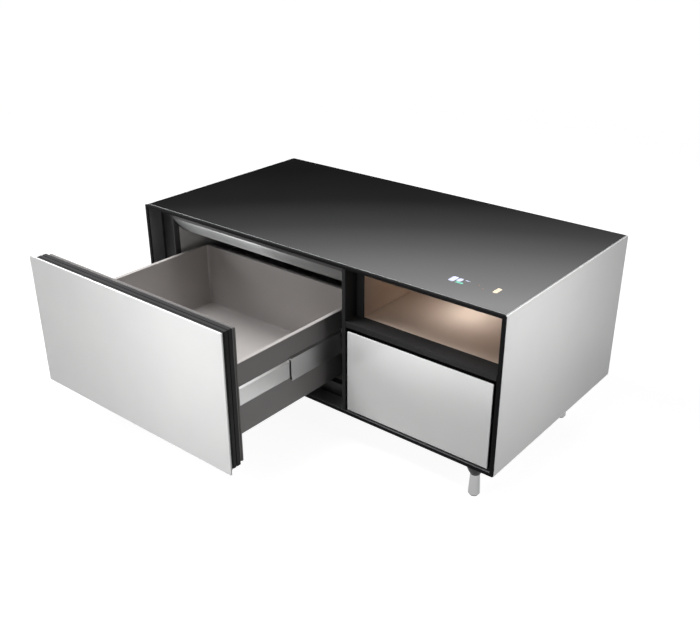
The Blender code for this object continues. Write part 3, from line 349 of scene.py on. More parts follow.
def make_finishes(lamp):
    """Every finish of the table, named for the real material and how it was made, or for the light or shade painted
    into it.
    """
    # Float glass over black ink: deep, mirror smooth, with the faint roller wave of tempering.
    finish("tempered_black_glass", ("#060607", "#080809"), (0.015, 0.035), 140, 0.012, (1, 0.5, 1),
           shader={"IOR": 1.52})
    # Low-iron glass with white paint behind: even, cool white under a wet-looking surface.
    finish("white_painted_glass", ("#e9e9e9", "#ededec"), (0.05, 0.09), 160, 0.008, shader={"IOR": 1.52})
    # Diamond-ground edge: frosted, so it catches light as a pale line.
    finish("ground_glass", ("#a8aaab", "#b4b6b7"), (0.45, 0.60), 0.6, 0.01, shader={"IOR": 1.52})
    # Extrusion: dull satin. Its die lines, too fine to show, are drawn 0.6 mm apart along X.
    finish("anodised_black_aluminium", ("#29292a", "#2f2f30"), (0.42, 0.52), 0.6, 0.004, (60, 1, 1),
           shader={"Specular IOR Level": 0.08})
    # Polyester paint on the front ring: deeper and duller than the anodised drawer frames.
    finish("painted_black_aluminium", ("#0f0f10", "#131314"), (0.55, 0.65), 0.7, 0.006, (30, 1, 1),
           shader={"Specular IOR Level": 0.05})
    # Painted light on the ring's inner faces and a painted highlight on the arris above its bottom member: a lighter
    # grey than its face stands in for the light that falls there.
    finish("ring_reveal_painted_light_grey", ("#626264", "#6a6a6c"), (0.40, 0.52), 0.6, 0.004, (60, 1, 1),
           shader={"Specular IOR Level": 0.2})
    # Sheet: orange peel about 1.6 mm across over a matte black.
    finish("powder_coated_steel", ("#161617", "#1c1c1d"), (0.42, 0.56), 1.6, 0.05)
    # Pressed leather-like pebble, dull.
    finish("black_melamine_board", ("#18181a", "#1d1d1f"), (0.48, 0.60), 1.1, 0.04, texture="TexVoronoi")
    # Cold-rolled: neutral grey, soft cloudy crystals, rolled lines along Y.
    finish("zinc_plated_steel", ("#bfbfbf", "#c5c5c4"), (0.34, 0.42), 0.9, 0.003, (1, 40, 1), broad_mm=120,
           metallic=1.0)
    # Long scratches along X that spread light across them.
    finish("brushed_stainless_steel", ("#707171", "#787979"), (0.30, 0.36), 0.35, 0.002, (160, 1, 1), metallic=1.0,
           shader={"Anisotropic": 1.0}, brushed="X")
    # Injection-moulded: warm grey with a fine spark-eroded texture, which softens its shine.
    finish("moulded_grey_abs", ("#aba7a5", "#b1adab"), (0.46, 0.60), 0.9, 0.02)
    # Painted shade on the bin's outer walls: a darker grey sheet round the outside stands in for the shade that falls
    # there, with a very fine even texture.
    finish("bin_outside_painted_shade_grey", ("#737170", "#797776"), (0.40, 0.52), 0.8, 0.012)
    # Vacuum-formed polystyrene liner: smoother and whiter than the bin, slightly wavy.
    finish("formed_white_polystyrene", ("#c4c4c2", "#cccccb"), (0.30, 0.42), 22, 0.05)
    # Polyurethane: closed cells 1.5 mm across, yellowish, chalky.
    finish("poured_foam", ("#d8c48e", "#e2d1a0"), (0.85, 0.95), 1.5, 0.3, texture="TexVoronoi")
    # The drawer's seal: mid grey, dull, with a faint bloom.
    finish("extruded_soft_vinyl", ("#6c6a69", "#747271"), (0.52, 0.66), 0.7, 0.01)
    # Pressed linen relief 0.8 mm apart, silky.
    finish("beige_melamine_laminate", ("#c8b7a8", "#cebdae"), (0.34, 0.46), 0.8, 0.012, (1, 14, 1))
    # On drawn tube: a mirror with barely any haze.
    finish("bright_chrome_plate", ("#9d9d9e", "#a7a7a8"), (0.06, 0.12), 9, 0.003, metallic=1.0)
    # Fine even texture, soft highlights.
    finish("moulded_black_abs", ("#1d1d1e", "#242425"), (0.40, 0.52), 0.8, 0.015)
    # The strip round the cavity's mouth: dull, drawn lines 0.5 mm apart.
    finish("extruded_charcoal_styrene", ("#3a3a3b", "#424243"), (0.46, 0.58), 0.5, 0.006, (1, 20, 20))
    # Glass-filled nylon of the leg collars: nearly black, dull from its glass fibres.
    finish("moulded_black_nylon", ("#0d0d0e", "#121213"), (0.44, 0.56), 0.5, 0.012,
           shader={"Specular IOR Level": 0.3})
    # Marks lit from behind through clear spots in the ink: they glow evenly, with dull edges.
    for tint, colours, light, strength in (("white", ("#c8ccf0", "#d4d8f4"), "#c9cdf2", 0.18),
                                           ("warm", ("#cdbda8", "#d4c6b2"), "#d8c4a8", 0.45),
                                           ("teal", ("#5fa894", "#6cb4a2"), "#5fb89c", 0.4),
                                           ("orange", ("#8a5f48", "#96694f"), "#a87a58", 0.2)):
        finish(f"lit_{tint}_mark", colours, (0.40, 0.50), 1.0, 0.002, glow=(linear(light), strength))
    # Warm, darker where it has tarnished.
    finish("drawn_copper", ("#c7805a", "#a5603e"), (0.22, 0.42), 2.5, 0.01, broad_mm=35, metallic=1.0)
    # Fin stock: pale, faintly streaked.
    finish("mill_finish_aluminium", ("#cdd0d2", "#d6d9db"), (0.30, 0.42), 0.5, 0.004, (1, 1, 30), metallic=1.0)
    # Glass-epoxy board under green solder mask: woven glass shows as a 0.9 mm check.
    finish("green_epoxy_board", ("#1f4a30", "#265538"), (0.28, 0.40), 0.9, 0.008, texture="TexChecker",
           output=1)
    # Fasteners and pins: small, bright, slightly yellow.
    finish("nickel_plated_steel", ("#b9b7b0", "#c6c4bd"), (0.20, 0.34), 1.2, 0.004, metallic=1.0)
    # Pads and mounts: near black, dull, slightly dusty.
    finish("vulcanised_rubber", ("#19191a", "#262627"), (0.62, 0.78), 0.9, 0.03)
    # On the compressor's shell: glossy with shallow ripples.
    finish("baked_black_enamel", ("#101011", "#151516"), (0.18, 0.30), 3.5, 0.05)
    # Over a strip of warm lamps: glows evenly.
    finish("opal_diffuser", ("#fff1dc", "#fff4e4"), (0.40, 0.50), 1.0, 0.01,
           glow=((*lamp.lamp_light, 1.0), lamp.lamp_strength))


# Settings that a user would change

def length(name, default, description):
    """A size in metres."""
    return FloatProperty(name=name, description=description, default=default, unit="LENGTH")


class TableSizes(bpy.types.PropertyGroup):
    """Sizes of the small forms that the CAD frame leaves to the looks."""
    glass_corner: length("Glass corner", 0.002, "Radius of a glass sheet's corners")
    glass_arris: length("Glass arris", 0.0011, "Radius of a glass sheet's polished edge")
    extrusion_edge: length("Extrusion edge", 0.0007, "Radius of a frame's long edges")
    frame_arris: length("Frame arris", 0.0028, "Radius of the front frame's corners and inner edges")
    bin_corner: length("Bin corner", 0.010, "Radius of the cold bin's upright corners")
    bin_fillet: length("Bin fillet", 0.004, "Radius between the bin's walls and its floor")
    fin_pitch: length("Fin pitch", 0.0025, "Distance between the condenser's fins")
    fan_blades: IntProperty(name="Fan blades", description="Number of blades on the condenser fan", default=7)


class TableColours(bpy.types.PropertyGroup):
    """Light of the niche's lamp."""
    lamp_light: FloatVectorProperty(name="Lamp light", description="Colour of the niche's lamp",
                                    default=linear("#ffdfc0")[:3], subtype="COLOR")
    lamp_strength: FloatProperty(name="Lamp strength", description="Brightness of the niche's lamp", default=0.8)


class BuildOperator:
    """What every building operator shares; the finishes are made on first use."""
    bl_options = {"REGISTER", "UNDO"}

    def execute(self, context):
        if not FINISHES:
            make_finishes(context.scene.table_colours)
        self.build(context.scene.table_sizes)
        return {"FINISHED"}


class TABLE_OT_glass(BuildOperator, bpy.types.Operator):
    """Adds the top, side and drawer glass sheets"""
    bl_idname = "table.glass"
    bl_label = "Glass Sheets"

    def build(self, sizes):
        for node, axis, body in (("top_glass", 2, "cabinet"), ("side_glass_left", 0, "cabinet"),
                                 ("side_glass_right", 0, "cabinet"), ("cold_front_glass", 1, "cold_drawer"),
                                 ("dry_front_glass", 1, "dry_drawer")):
            low, high = CAD[node]
            looks = ("white_painted_glass", "white_glass")
            if node == "top_glass":
                high, looks = high - (0, 0, MARK), ("tempered_black_glass", "black_glass")
            sheet = slab(low, high, axis, sizes.glass_corner, sizes.glass_arris)
            piece(node + "_sheet", [sheet], *looks, [node], body)
        self.ground_arris(sizes)
        self.lit_marks()

    def ground_arris(self, sizes):
        """The ground edge round the top glass: an arc outside, and the sheet's own edge, a little larger, inside."""
        low, high = CAD["top_glass"] - np.array([[0, 0, 0], [0, 0, MARK]])
        outer, inner = ((0, high[2]) + arc(sizes.glass_arris * share, 5)[:, ::-1] * (1, -1) for share in (0.55, 0.97))
        rings = contour(low, high, 2, np.concatenate([outer, inner[::-1]]), sizes.glass_corner)
        piece("top_glass_ground_arris", [skin(rings, wrap=True)], "ground_glass", "black_glass")

    def lit_marks(self):
        """The touch panel's marks over its board: thin rounded spots and strokes at (x, y) with their lengths."""
        middle, top = sum(CAD["touch_board"])[:2] / 2, CAD["top_glass"][1][2]
        marks = {"lit_white_mark": [(-0.041, 0.003, 0.014, 0.026), (-0.026, 0.006, 0.011, 0.017),
                                    (-0.010, 0.011, 0.010, 0.003)],
                 "lit_teal_mark": [(-0.0195, -0.0075, 0.018, 0.007)],
                 "lit_warm_mark": [(0.0655, 0.0065, 0.011, 0.027)],
                 "lit_orange_mark": [(0.021, 0.0065, 0.003, 0.003), (0.037, -0.0045, 0.003, 0.003)]}
        for look, spots in marks.items():
            places, reach = middle + np.array(spots)[:, :2], np.array(spots)[:, 2:] / 2
            shapes = [slab((*(at - half), top - MARK * 0.9), (*(at + half), top), 2, half.min() * 0.6, MARK / 4, 4, 1)
                      for at, half in zip(places, reach)]
            piece(look + "s", shapes, look, "warm_diffuser")


class TABLE_OT_front_frame(BuildOperator, bpy.types.Operator):
    """Adds the black ring round the openings, its divider and its shelf rail"""
    bl_idname = "table.front_frame"
    bl_label = "Front Frame"

    def build(self, sizes):
        """One mitred ring, then the divider and the shelf rail: rings of rectangles from the back, over the
        lip before the glass, the flange and the front face, and back through the opening. Its arrises are
        quarter turns."""
        low, high = CAD["front_frame"]
        arris, edge, rounding = sizes.frame_arris, sizes.extrusion_edge, 0.0015
        glass_low, glass_high = CAD["top_glass"]
        outer = face(low, high)
        inner = np.array([[low[2], glass_low[0]], [high[2], glass_high[0]]])
        body = np.array([[low[2], glass_low[0]], [glass_low[2] - SEAM, glass_high[0]]])
        hole = np.array([[OPENING_LOW, -OPENING_HALF], [OPENING_HIGH, OPENING_HALF]])
        front, back, lip = low[1], low[1] + FLANGE, low[1] + TOP_LIP
        rows = [(body, 0, high[1], edge), (body, 0, lip, edge), (inner, 0, lip, edge), (inner, 0, back, edge),
                (outer, 0, back, arris)]
        rows += [(outer, rise, front + inset, arris) for inset, rise in arc(edge, 4)]
        rows += [(hole, -inset, front + rise, edge) for inset, rise in arc(arris, 4)]
        rows += [(hole, 0, high[1], edge)]
        bars = [((DIVIDER[0], front, OPENING_LOW + SEAM), (DIVIDER[1], high[1], OPENING_HIGH - SEAM), 2),
                ((DIVIDER[1] + SEAM, front, SHELF[0]), (OPENING_HALF - SEAM, high[1], SHELF[1]), 0)]
        bars = [skin(contour(start, end, axis, [(0, start[axis]), (0, end[axis])], rounding, 2))
                for start, end, axis in bars]
        made = piece("front_frame_ring", [frames(rows)], "painted_black_aluminium", "black_aluminium", ["front_frame"])
        # Painted light: a lighter grey on the hole's faces and a painted highlight on the bottom member's arris
        self.reveal(made.data, arris)
        piece("front_frame_bars", bars, "anodised_black_aluminium", "black_aluminium")

    def reveal(self, mesh, arris):
        """Paints light on the faces of the ring's hole, and a highlight on the arris above its bottom member, with a
        lighter grey: how far a face lies outside the hole tells them apart."""
        mesh.materials.append(FINISHES["ring_reveal_painted_light_grey"])
        middle = np.empty((len(mesh.polygons), 3))
        mesh.polygons.foreach_get("center", middle.reshape(-1))
        below = OPENING_LOW - middle[:, 2]
        outside = np.stack([np.abs(middle[:, 0]) - OPENING_HALF, below, middle[:, 2] - OPENING_HIGH]).max(0)
        lit = (outside < 1e-5) | ((outside < arris * 0.6) & (below == outside))
        mesh.polygons.foreach_set("material_index", lit.astype(np.int32))


class TABLE_OT_carcass(BuildOperator, bpy.types.Operator):
    """Finishes the sheets and boards of the carcass and adds their screws"""
    bl_idname = "table.carcass"
    bl_label = "Carcass"

    def build(self, sizes):
        dress("powder_coated_steel", "base_tray", "rear_panel")
        dress("black_melamine_board", "wall_left", "wall_right", "top_deck", "partition", "bulkhead")
        dress("green_epoxy_board", "touch_board")
        low, high = CAD["base_tray"]
        x, y = np.meshgrid(np.linspace(low[0] + 0.02, high[0] - 0.02, 6), (low[1] + 0.015, high[1] - 0.015))
        spots = np.stack([x.ravel(), y.ravel(), np.full(x.size, low[2])], -1)
        points, faces = screw_head(0.0045, 0.0016)
        hanging = points[:, [0, 2, 1]] * (1, 1, -1)
        piece("base_screws", [copies((hanging, faces), spots)], "nickel_plated_steel", "zinc_steel")


class TABLE_OT_cold_cabinet(BuildOperator, bpy.types.Operator):
    """Adds the cavity's liner, its curved steel cover and the evaporator"""
    bl_idname = "table.cold_cabinet"
    bl_label = "Cold Cabinet"

    def build(self, sizes):
        self.liner()
        self.cover()
        self.evaporator()
        dress("poured_foam", "foam_body")

    def liner(self):
        """A formed tub, and the dark strip that covers its flange and turns into its rounded mouth."""
        low, high = CAD["cabinet_liner"]
        sheet, lip = 0.002, 0.0015
        flange, cavity = face(low, high), face(CAVITY_LOW, CAVITY_HIGH)
        mouth = cavity.copy()
        mouth[1, 0] = MOUTH_TOP
        front, back, wrap = low[1], CAVITY_HIGH[1], low[1] + BREAKER
        step = wrap + SEAM + lip
        tub_rows = [(cavity, -sheet, back + sheet, 0.008), (cavity, -sheet, wrap + SEAM, 0.008),
                    (mouth, 0, wrap + SEAM, 0.006), (mouth, 0, step, 0.006), (cavity, 0, step, 0.006),
                    (cavity, 0, back - 0.006, 0.006), (cavity, 0.002, back - 0.002, 0.004),
                    (cavity, 0.006, back, 0.001)]
        strip_rows = [(flange, 0, front + sheet, 0), (flange, 0, front, 0), (mouth, -lip, front, 0.008),
                      (mouth, -lip * 0.3, front + lip * 0.3, 0.007), (mouth, 0, front + lip, 0.006),
                      (mouth, 0, wrap, 0.006), (mouth, -sheet, wrap, 0.008), (mouth, -sheet, front + sheet, 0.008)]
        piece("cavity_liner_tub", [frames(tub_rows, wrap=False)], "formed_white_polystyrene", "liner_plastic",
              ["cabinet_liner"])
        piece("cavity_breaker_strip", [frames(strip_rows)], "extruded_charcoal_styrene", "liner_plastic")

    def cover(self):
        """A sheet with a short upright nose, a curve down and back, a bend and a level run to the back.

        The curve and the bend are (1 - t)^2 a + 2 t (1 - t) b + t^2 c, with shared tangents.
        """
        low, high = CAD["ceiling_cover"]
        sheet = 0.0015
        nose, joint = np.array([low[1] + sheet / 2, high[2] - sheet / 2]), (0.0117, 0.3613)
        turns = [(nose - (0, 0.004), (-0.0450, 0.3870), joint), (joint, (0.0328, COVER_LEVEL), (0.054, COVER_LEVEL))]
        share = np.linspace(0, 1, 17)[:, None]
        bends = [(1 - share) ** 2 * a + 2 * share * (1 - share) * b + share ** 2 * c for a, b, c in np.array(turns)]
        spine = np.concatenate([[nose], bends[0], bends[1][1:], [(high[1], COVER_LEVEL)]])
        along = np.gradient(spine, axis=0)
        along /= np.linalg.norm(along, axis=1, keepdims=True)
        across = np.stack([-along[:, 1], along[:, 0]], -1) * sheet / 2
        section = np.concatenate([spine + across, (spine - across)[::-1]])
        piece("curved_ceiling_cover", [extruded(section, 0, low[0], high[0])], "brushed_stainless_steel",
              "brushed_steel", ["ceiling_cover"])

    def evaporator(self):
        """Thin fins on a tube that runs to and fro through them."""
        low, high = CAD["evaporator"]
        fins = np.arange(low[0] + 0.012, high[0] - 0.012, 0.0062)
        fin = slab((-0.0003, low[1], low[2] + 0.002), (0.0003, high[1], high[2] - 0.002), 0, 0.002, 0.0001, 1, 1)
        rows = np.linspace(low[1] + 0.014, high[1] - 0.014, 5)
        tubes = [winding(low[0] + 0.006, high[0] - 0.006, rows, 1, height, 0.0105, 0.0042)
                 for height in (low[2] + 0.018, high[2] - 0.018)]
        piece("evaporator_fins", [copies(fin, np.outer(fins, (1, 0, 0)))], "mill_finish_aluminium", "aluminium",
              ["evaporator"])
        piece("evaporator_tube", tubes, "mill_finish_aluminium", "aluminium")


class TABLE_OT_niche(BuildOperator, bpy.types.Operator):
    """Adds the lit niche: black trim, beige boards, lamp channel and lamp"""
    bl_idname = "table.niche"
    bl_label = "Niche"

    def build(self, sizes):
        low, high = CAD["niche_liner"]
        near, far = low + (NICHE_SHEET, 0, NICHE_SHEET), high - NICHE_SHEET
        self.trim(near, far)
        foot, head = near[2] + SEAM, far[2] - SEAM
        boards = [(low, (high[0], high[1], near[2]), 2), ((low[0], low[1], far[2]), high, 2),
                  ((low[0], low[1], foot), (near[0], high[1], head), 0),
                  ((far[0], low[1], foot), (high[0], high[1], head), 0),
                  ((near[0] + SEAM, far[1], foot), (far[0] - SEAM, high[1], head), 1)]
        piece("niche_boards", [slab(*board, 0.0005, 0.0004) for board in boards], "beige_melamine_laminate",
              "beige_laminate", ["niche_liner"])
        self.lamp()

    def trim(self, near, far):
        """A flat black ring whose inner edge is eased towards the front."""
        low, high = CAD["niche_bezel"]
        outer, hole, ease = face(low, high), face(near, far), 0.0006
        rows = [(outer, 0, low[1], 0), (hole, -ease, low[1], 0), (hole, 0, low[1] + ease, 0), (hole, 0, high[1], 0),
                (outer, 0, high[1], 0)]
        piece("niche_trim", [frames(rows)], "anodised_black_aluminium", "black_aluminium", ["niche_bezel"])

    def lamp(self):
        """An opal strip with a rounded lower face in a shallow metal channel."""
        low, high = CAD["led_lamp"]
        middle, wide, wall = (low[0] + high[0]) / 2, (high[0] - low[0]) / 2, 0.0009
        lens_half, lens_drop, foot = wide - wall - 0.0001, 0.003, low[2] + 0.002
        turn = np.linspace(0, np.pi, 13)
        lens = np.stack([middle + lens_half * np.cos(turn), low[2] + lens_drop * (1 - np.sin(turn))], -1)
        top = [(middle - lens_half, high[2] - wall), (middle + lens_half, high[2] - wall)]
        piece("niche_lamp_lens", [extruded(np.fliplr(np.concatenate([lens, top])), 1, low[1] + 0.001, high[1] - 0.001)],
              "opal_diffuser", "warm_diffuser", ["led_lamp"])
        half = np.array([(-wide, foot), (-wide, high[2]), (wide, high[2]), (wide, foot), (wide - wall, foot),
                         (wide - wall, high[2] - wall * 0.9), (wall - wide, high[2] - wall * 0.9), (wall - wide, foot)])
        cap = slab(low, (high[0], low[1] + wall, high[2]), 1, 0.0008, 0.0003)
        piece("niche_lamp_channel", [extruded(np.fliplr(half + (middle, 0)), 1, low[1] + wall, high[1] - wall),
                                     copies(cap, [(0, 0, 0), (0, high[1] - low[1] - wall, 0)])],
              "mill_finish_aluminium", "aluminium")


class TABLE_OT_legs(BuildOperator, bpy.types.Operator):
    """Adds the four legs: flared collar, chrome tube and pad"""
    bl_idname = "table.legs"
    bl_label = "Legs"

    def build(self, sizes):
        for corner in ("front_left", "front_right", "rear_left", "rear_right"):
            for part, look, slot, rounding in (("collar", "moulded_black_nylon", "black_plastic", 0.003),
                                               ("leg", "bright_chrome_plate", "chrome", 0.0025),
                                               ("pad", "vulcanised_rubber", "black_plastic", 0.0006)):
                node = f"{part}_{corner}"
                low, high = CAD[node]
                profile = self.profile(part, low[2], high[2], (high[0] - low[0]) / 2, rounding)
                piece(node + "_turned", [turned(profile, (*((low + high) / 2)[:2], 0))], look, slot, [node], crease=50)

    def profile(self, part, low, high, reach, rounding):
        """Rows of (radius, height) from the foot up: a quarter turn, then a side that is straight or, on the
        collar, flares as the 0.75th power; the last row is the flat top."""
        flared, rim, flange = part == "collar", 0.0012, 0.0022
        foot = 0.0125 if flared else reach
        top = reach - 0.0026 if part == "leg" else reach
        share = np.linspace(0, 1, 9 if flared else 8)
        rise = low + rounding + (high - (flange if flared else 0) - low - rounding) * share
        side = np.stack([foot + (top - foot) * share ** (0.75 if flared else 1), rise], -1)
        edge = [(reach, high - rim), (reach, high)] if flared else np.empty((0, 2))
        return np.concatenate([arc(rounding, 5)[:-1] * (-1, 1) + (foot, low), side, edge])


class TABLE_OT_drawer_fronts(BuildOperator, bpy.types.Operator):
    """Adds the grooved frames and inner pans behind the drawers' glass"""
    bl_idname = "table.drawer_fronts"
    bl_label = "Drawer Fronts"

    def build(self, sizes):
        for drawer in ("cold", "dry"):
            node, body = drawer + "_front_frame", drawer + "_drawer"
            low, high = CAD[node]
            section = [(0, low[1])]
            for share in GROOVE_SHARES:
                at = low[1] + share * (high[1] - low[1])
                section += [(0, at), (GROOVE_DEPTH, at), (GROOVE_DEPTH, at + GROOVE), (0, at + GROOVE)]
            section += [(0, high[1]), (FRAME_WALL, high[1]), (FRAME_WALL, low[1])]
            rings = contour(low, high, 1, soften(section, sizes.extrusion_edge * 0.7, 2), 0.0004, 1)
            piece(node + "_bars", [skin(rings, wrap=True)], "anodised_black_aluminium", "black_aluminium", [node], body)
            node = drawer + "_front_pan"
            low, high = CAD[node]
            panel = np.array([(0, 1.5), (0.5, 0.4), (1.5, 0), (22, 0), (23.5, 0.6), (25.5, 2.4), (27, 3)]) / 1000
            field = np.concatenate([[(0, low[1] + 0.001)], panel * (1, -1) + (0, high[1])])
            piece(node + "_panel", [skin(contour(low, high, 1, field, 0.004))], "moulded_grey_abs", "grey_plastic",
                  [node], body)


class TABLE_OT_gasket(BuildOperator, bpy.types.Operator):
    """Adds the soft seal round the back of the cold drawer's front"""
    bl_idname = "table.gasket"
    bl_label = "Gasket"

    def build(self, sizes):
        """A bellows section in millimetres, as (way in, way back), stretched to the seal's depth."""
        low, high = CAD["cold_gasket"]
        section = np.array([(1.0, 0), (7.0, 0), (7.0, 1.2), (5.5, 2.5), (6.8, 4.5), (5.5, 6.0), (8.0, 7.2),
                            (8.0, 10.6), (0, 10.6), (0, 7.2), (2.5, 6.0), (1.2, 4.5), (2.5, 2.5), (1.0, 1.2)]) / 1000
        section[:, 1] *= (high[1] - low[1]) / section[:, 1].max()
        section[:, 1] += low[1]
        rings = contour(low, high, 1, soften(section, 0.0008, 3), 0.004, 4)
        piece("cold_seal", [skin(rings, wrap=True)], "extruded_soft_vinyl", "gasket_rubber", ["cold_gasket"],
              "cold_drawer")


class TABLE_OT_boxes(BuildOperator, bpy.types.Operator):
    """Adds the cold drawer's bin and the dry drawer's box"""
    bl_idname = "table.boxes"
    bl_label = "Drawer Boxes"

    def build(self, sizes):
        low, high = CAD["cold_bin"] + np.array([[BIN_LIP, 0, 0], [-BIN_LIP, -BIN_LIP, 0]])
        foot, top, inset = low[2] + 0.0012, high[2] - BIN_LIP_THICK - SEAM, BIN_SHADE_SKIN + 0.0001
        # Painted shade: a thin darker grey skin round the bin's outer walls stands in for the shade on them
        skirt = [(0, foot), (0, top), (BIN_SHADE_SKIN, top), (BIN_SHADE_SKIN, foot)]
        piece("cold_bin_painted_shade_skin", [skin(contour(low, high, 2, skirt, sizes.bin_corner, 7), wrap=True)],
              "bin_outside_painted_shade_grey", "grey_plastic", body="cold_drawer")
        shell = tub(low + (inset, inset, 0), high - (inset, inset, 0), BIN_WALL - inset, sizes.bin_corner - inset,
                    sizes.bin_fillet, BIN_LIP + inset, BIN_LIP_THICK)
        piece("cold_bin_tub", [shell], "moulded_grey_abs", "grey_plastic", ["cold_bin"], "cold_drawer")
        piece("dry_box_tub", [tub(*CAD["dry_box"], 0.004, 0.008, 0.005, 0.0, 0.002)], "moulded_black_abs",
              "black_plastic", ["dry_box"], "dry_drawer")


class TABLE_OT_slides(BuildOperator, bpy.types.Operator):
    """Adds the telescopic slides: runners, middle members and cabinet members"""
    bl_idname = "table.slides"
    bl_label = "Telescopic Slides"

    def build(self, sizes):
        for drawer in ("cold", "dry"):
            for side, wall in (("left", -1), ("right", 1)):
                for member, body, kind, section in (("runner", drawer + "_drawer", "_bar", self.runner),
                                                    ("middle", drawer + "_middle", "_channel", self.channel),
                                                    ("rail", "cabinet", "_channel", self.channel)):
                    node = f"{drawer}_{member}_{side}"
                    low, high = CAD[node]
                    near, far = (low[0], high[0])[::wall]
                    shape = extruded(np.fliplr(section(near, far, low[2], high[2], wall)), 1, low[1], high[1])
                    piece(node + kind, [shape], "zinc_plated_steel", "zinc_steel", [node], body)

    def runner(self, near, far, low, high, wall):
        """A flat strip whose long edges slope back towards the drawer."""
        knee, slope = near + (far - near) * 0.1, 0.0042
        return soften([(near, low), (knee, low), (far, low + slope), (far, high - slope), (knee, high), (near, high)],
                      0.0006)

    def channel(self, near, far, low, high, wall):
        """A C section: a web by the wall, lips towards the drawer, with rolled corners."""
        web, race = far - 0.0016 * wall, 0.004
        return soften([(far, low), (far, high), (near, high), (near, high - race), (web, high - race),
                       (web, low + race), (near, low + race), (near, low)], 0.0011)


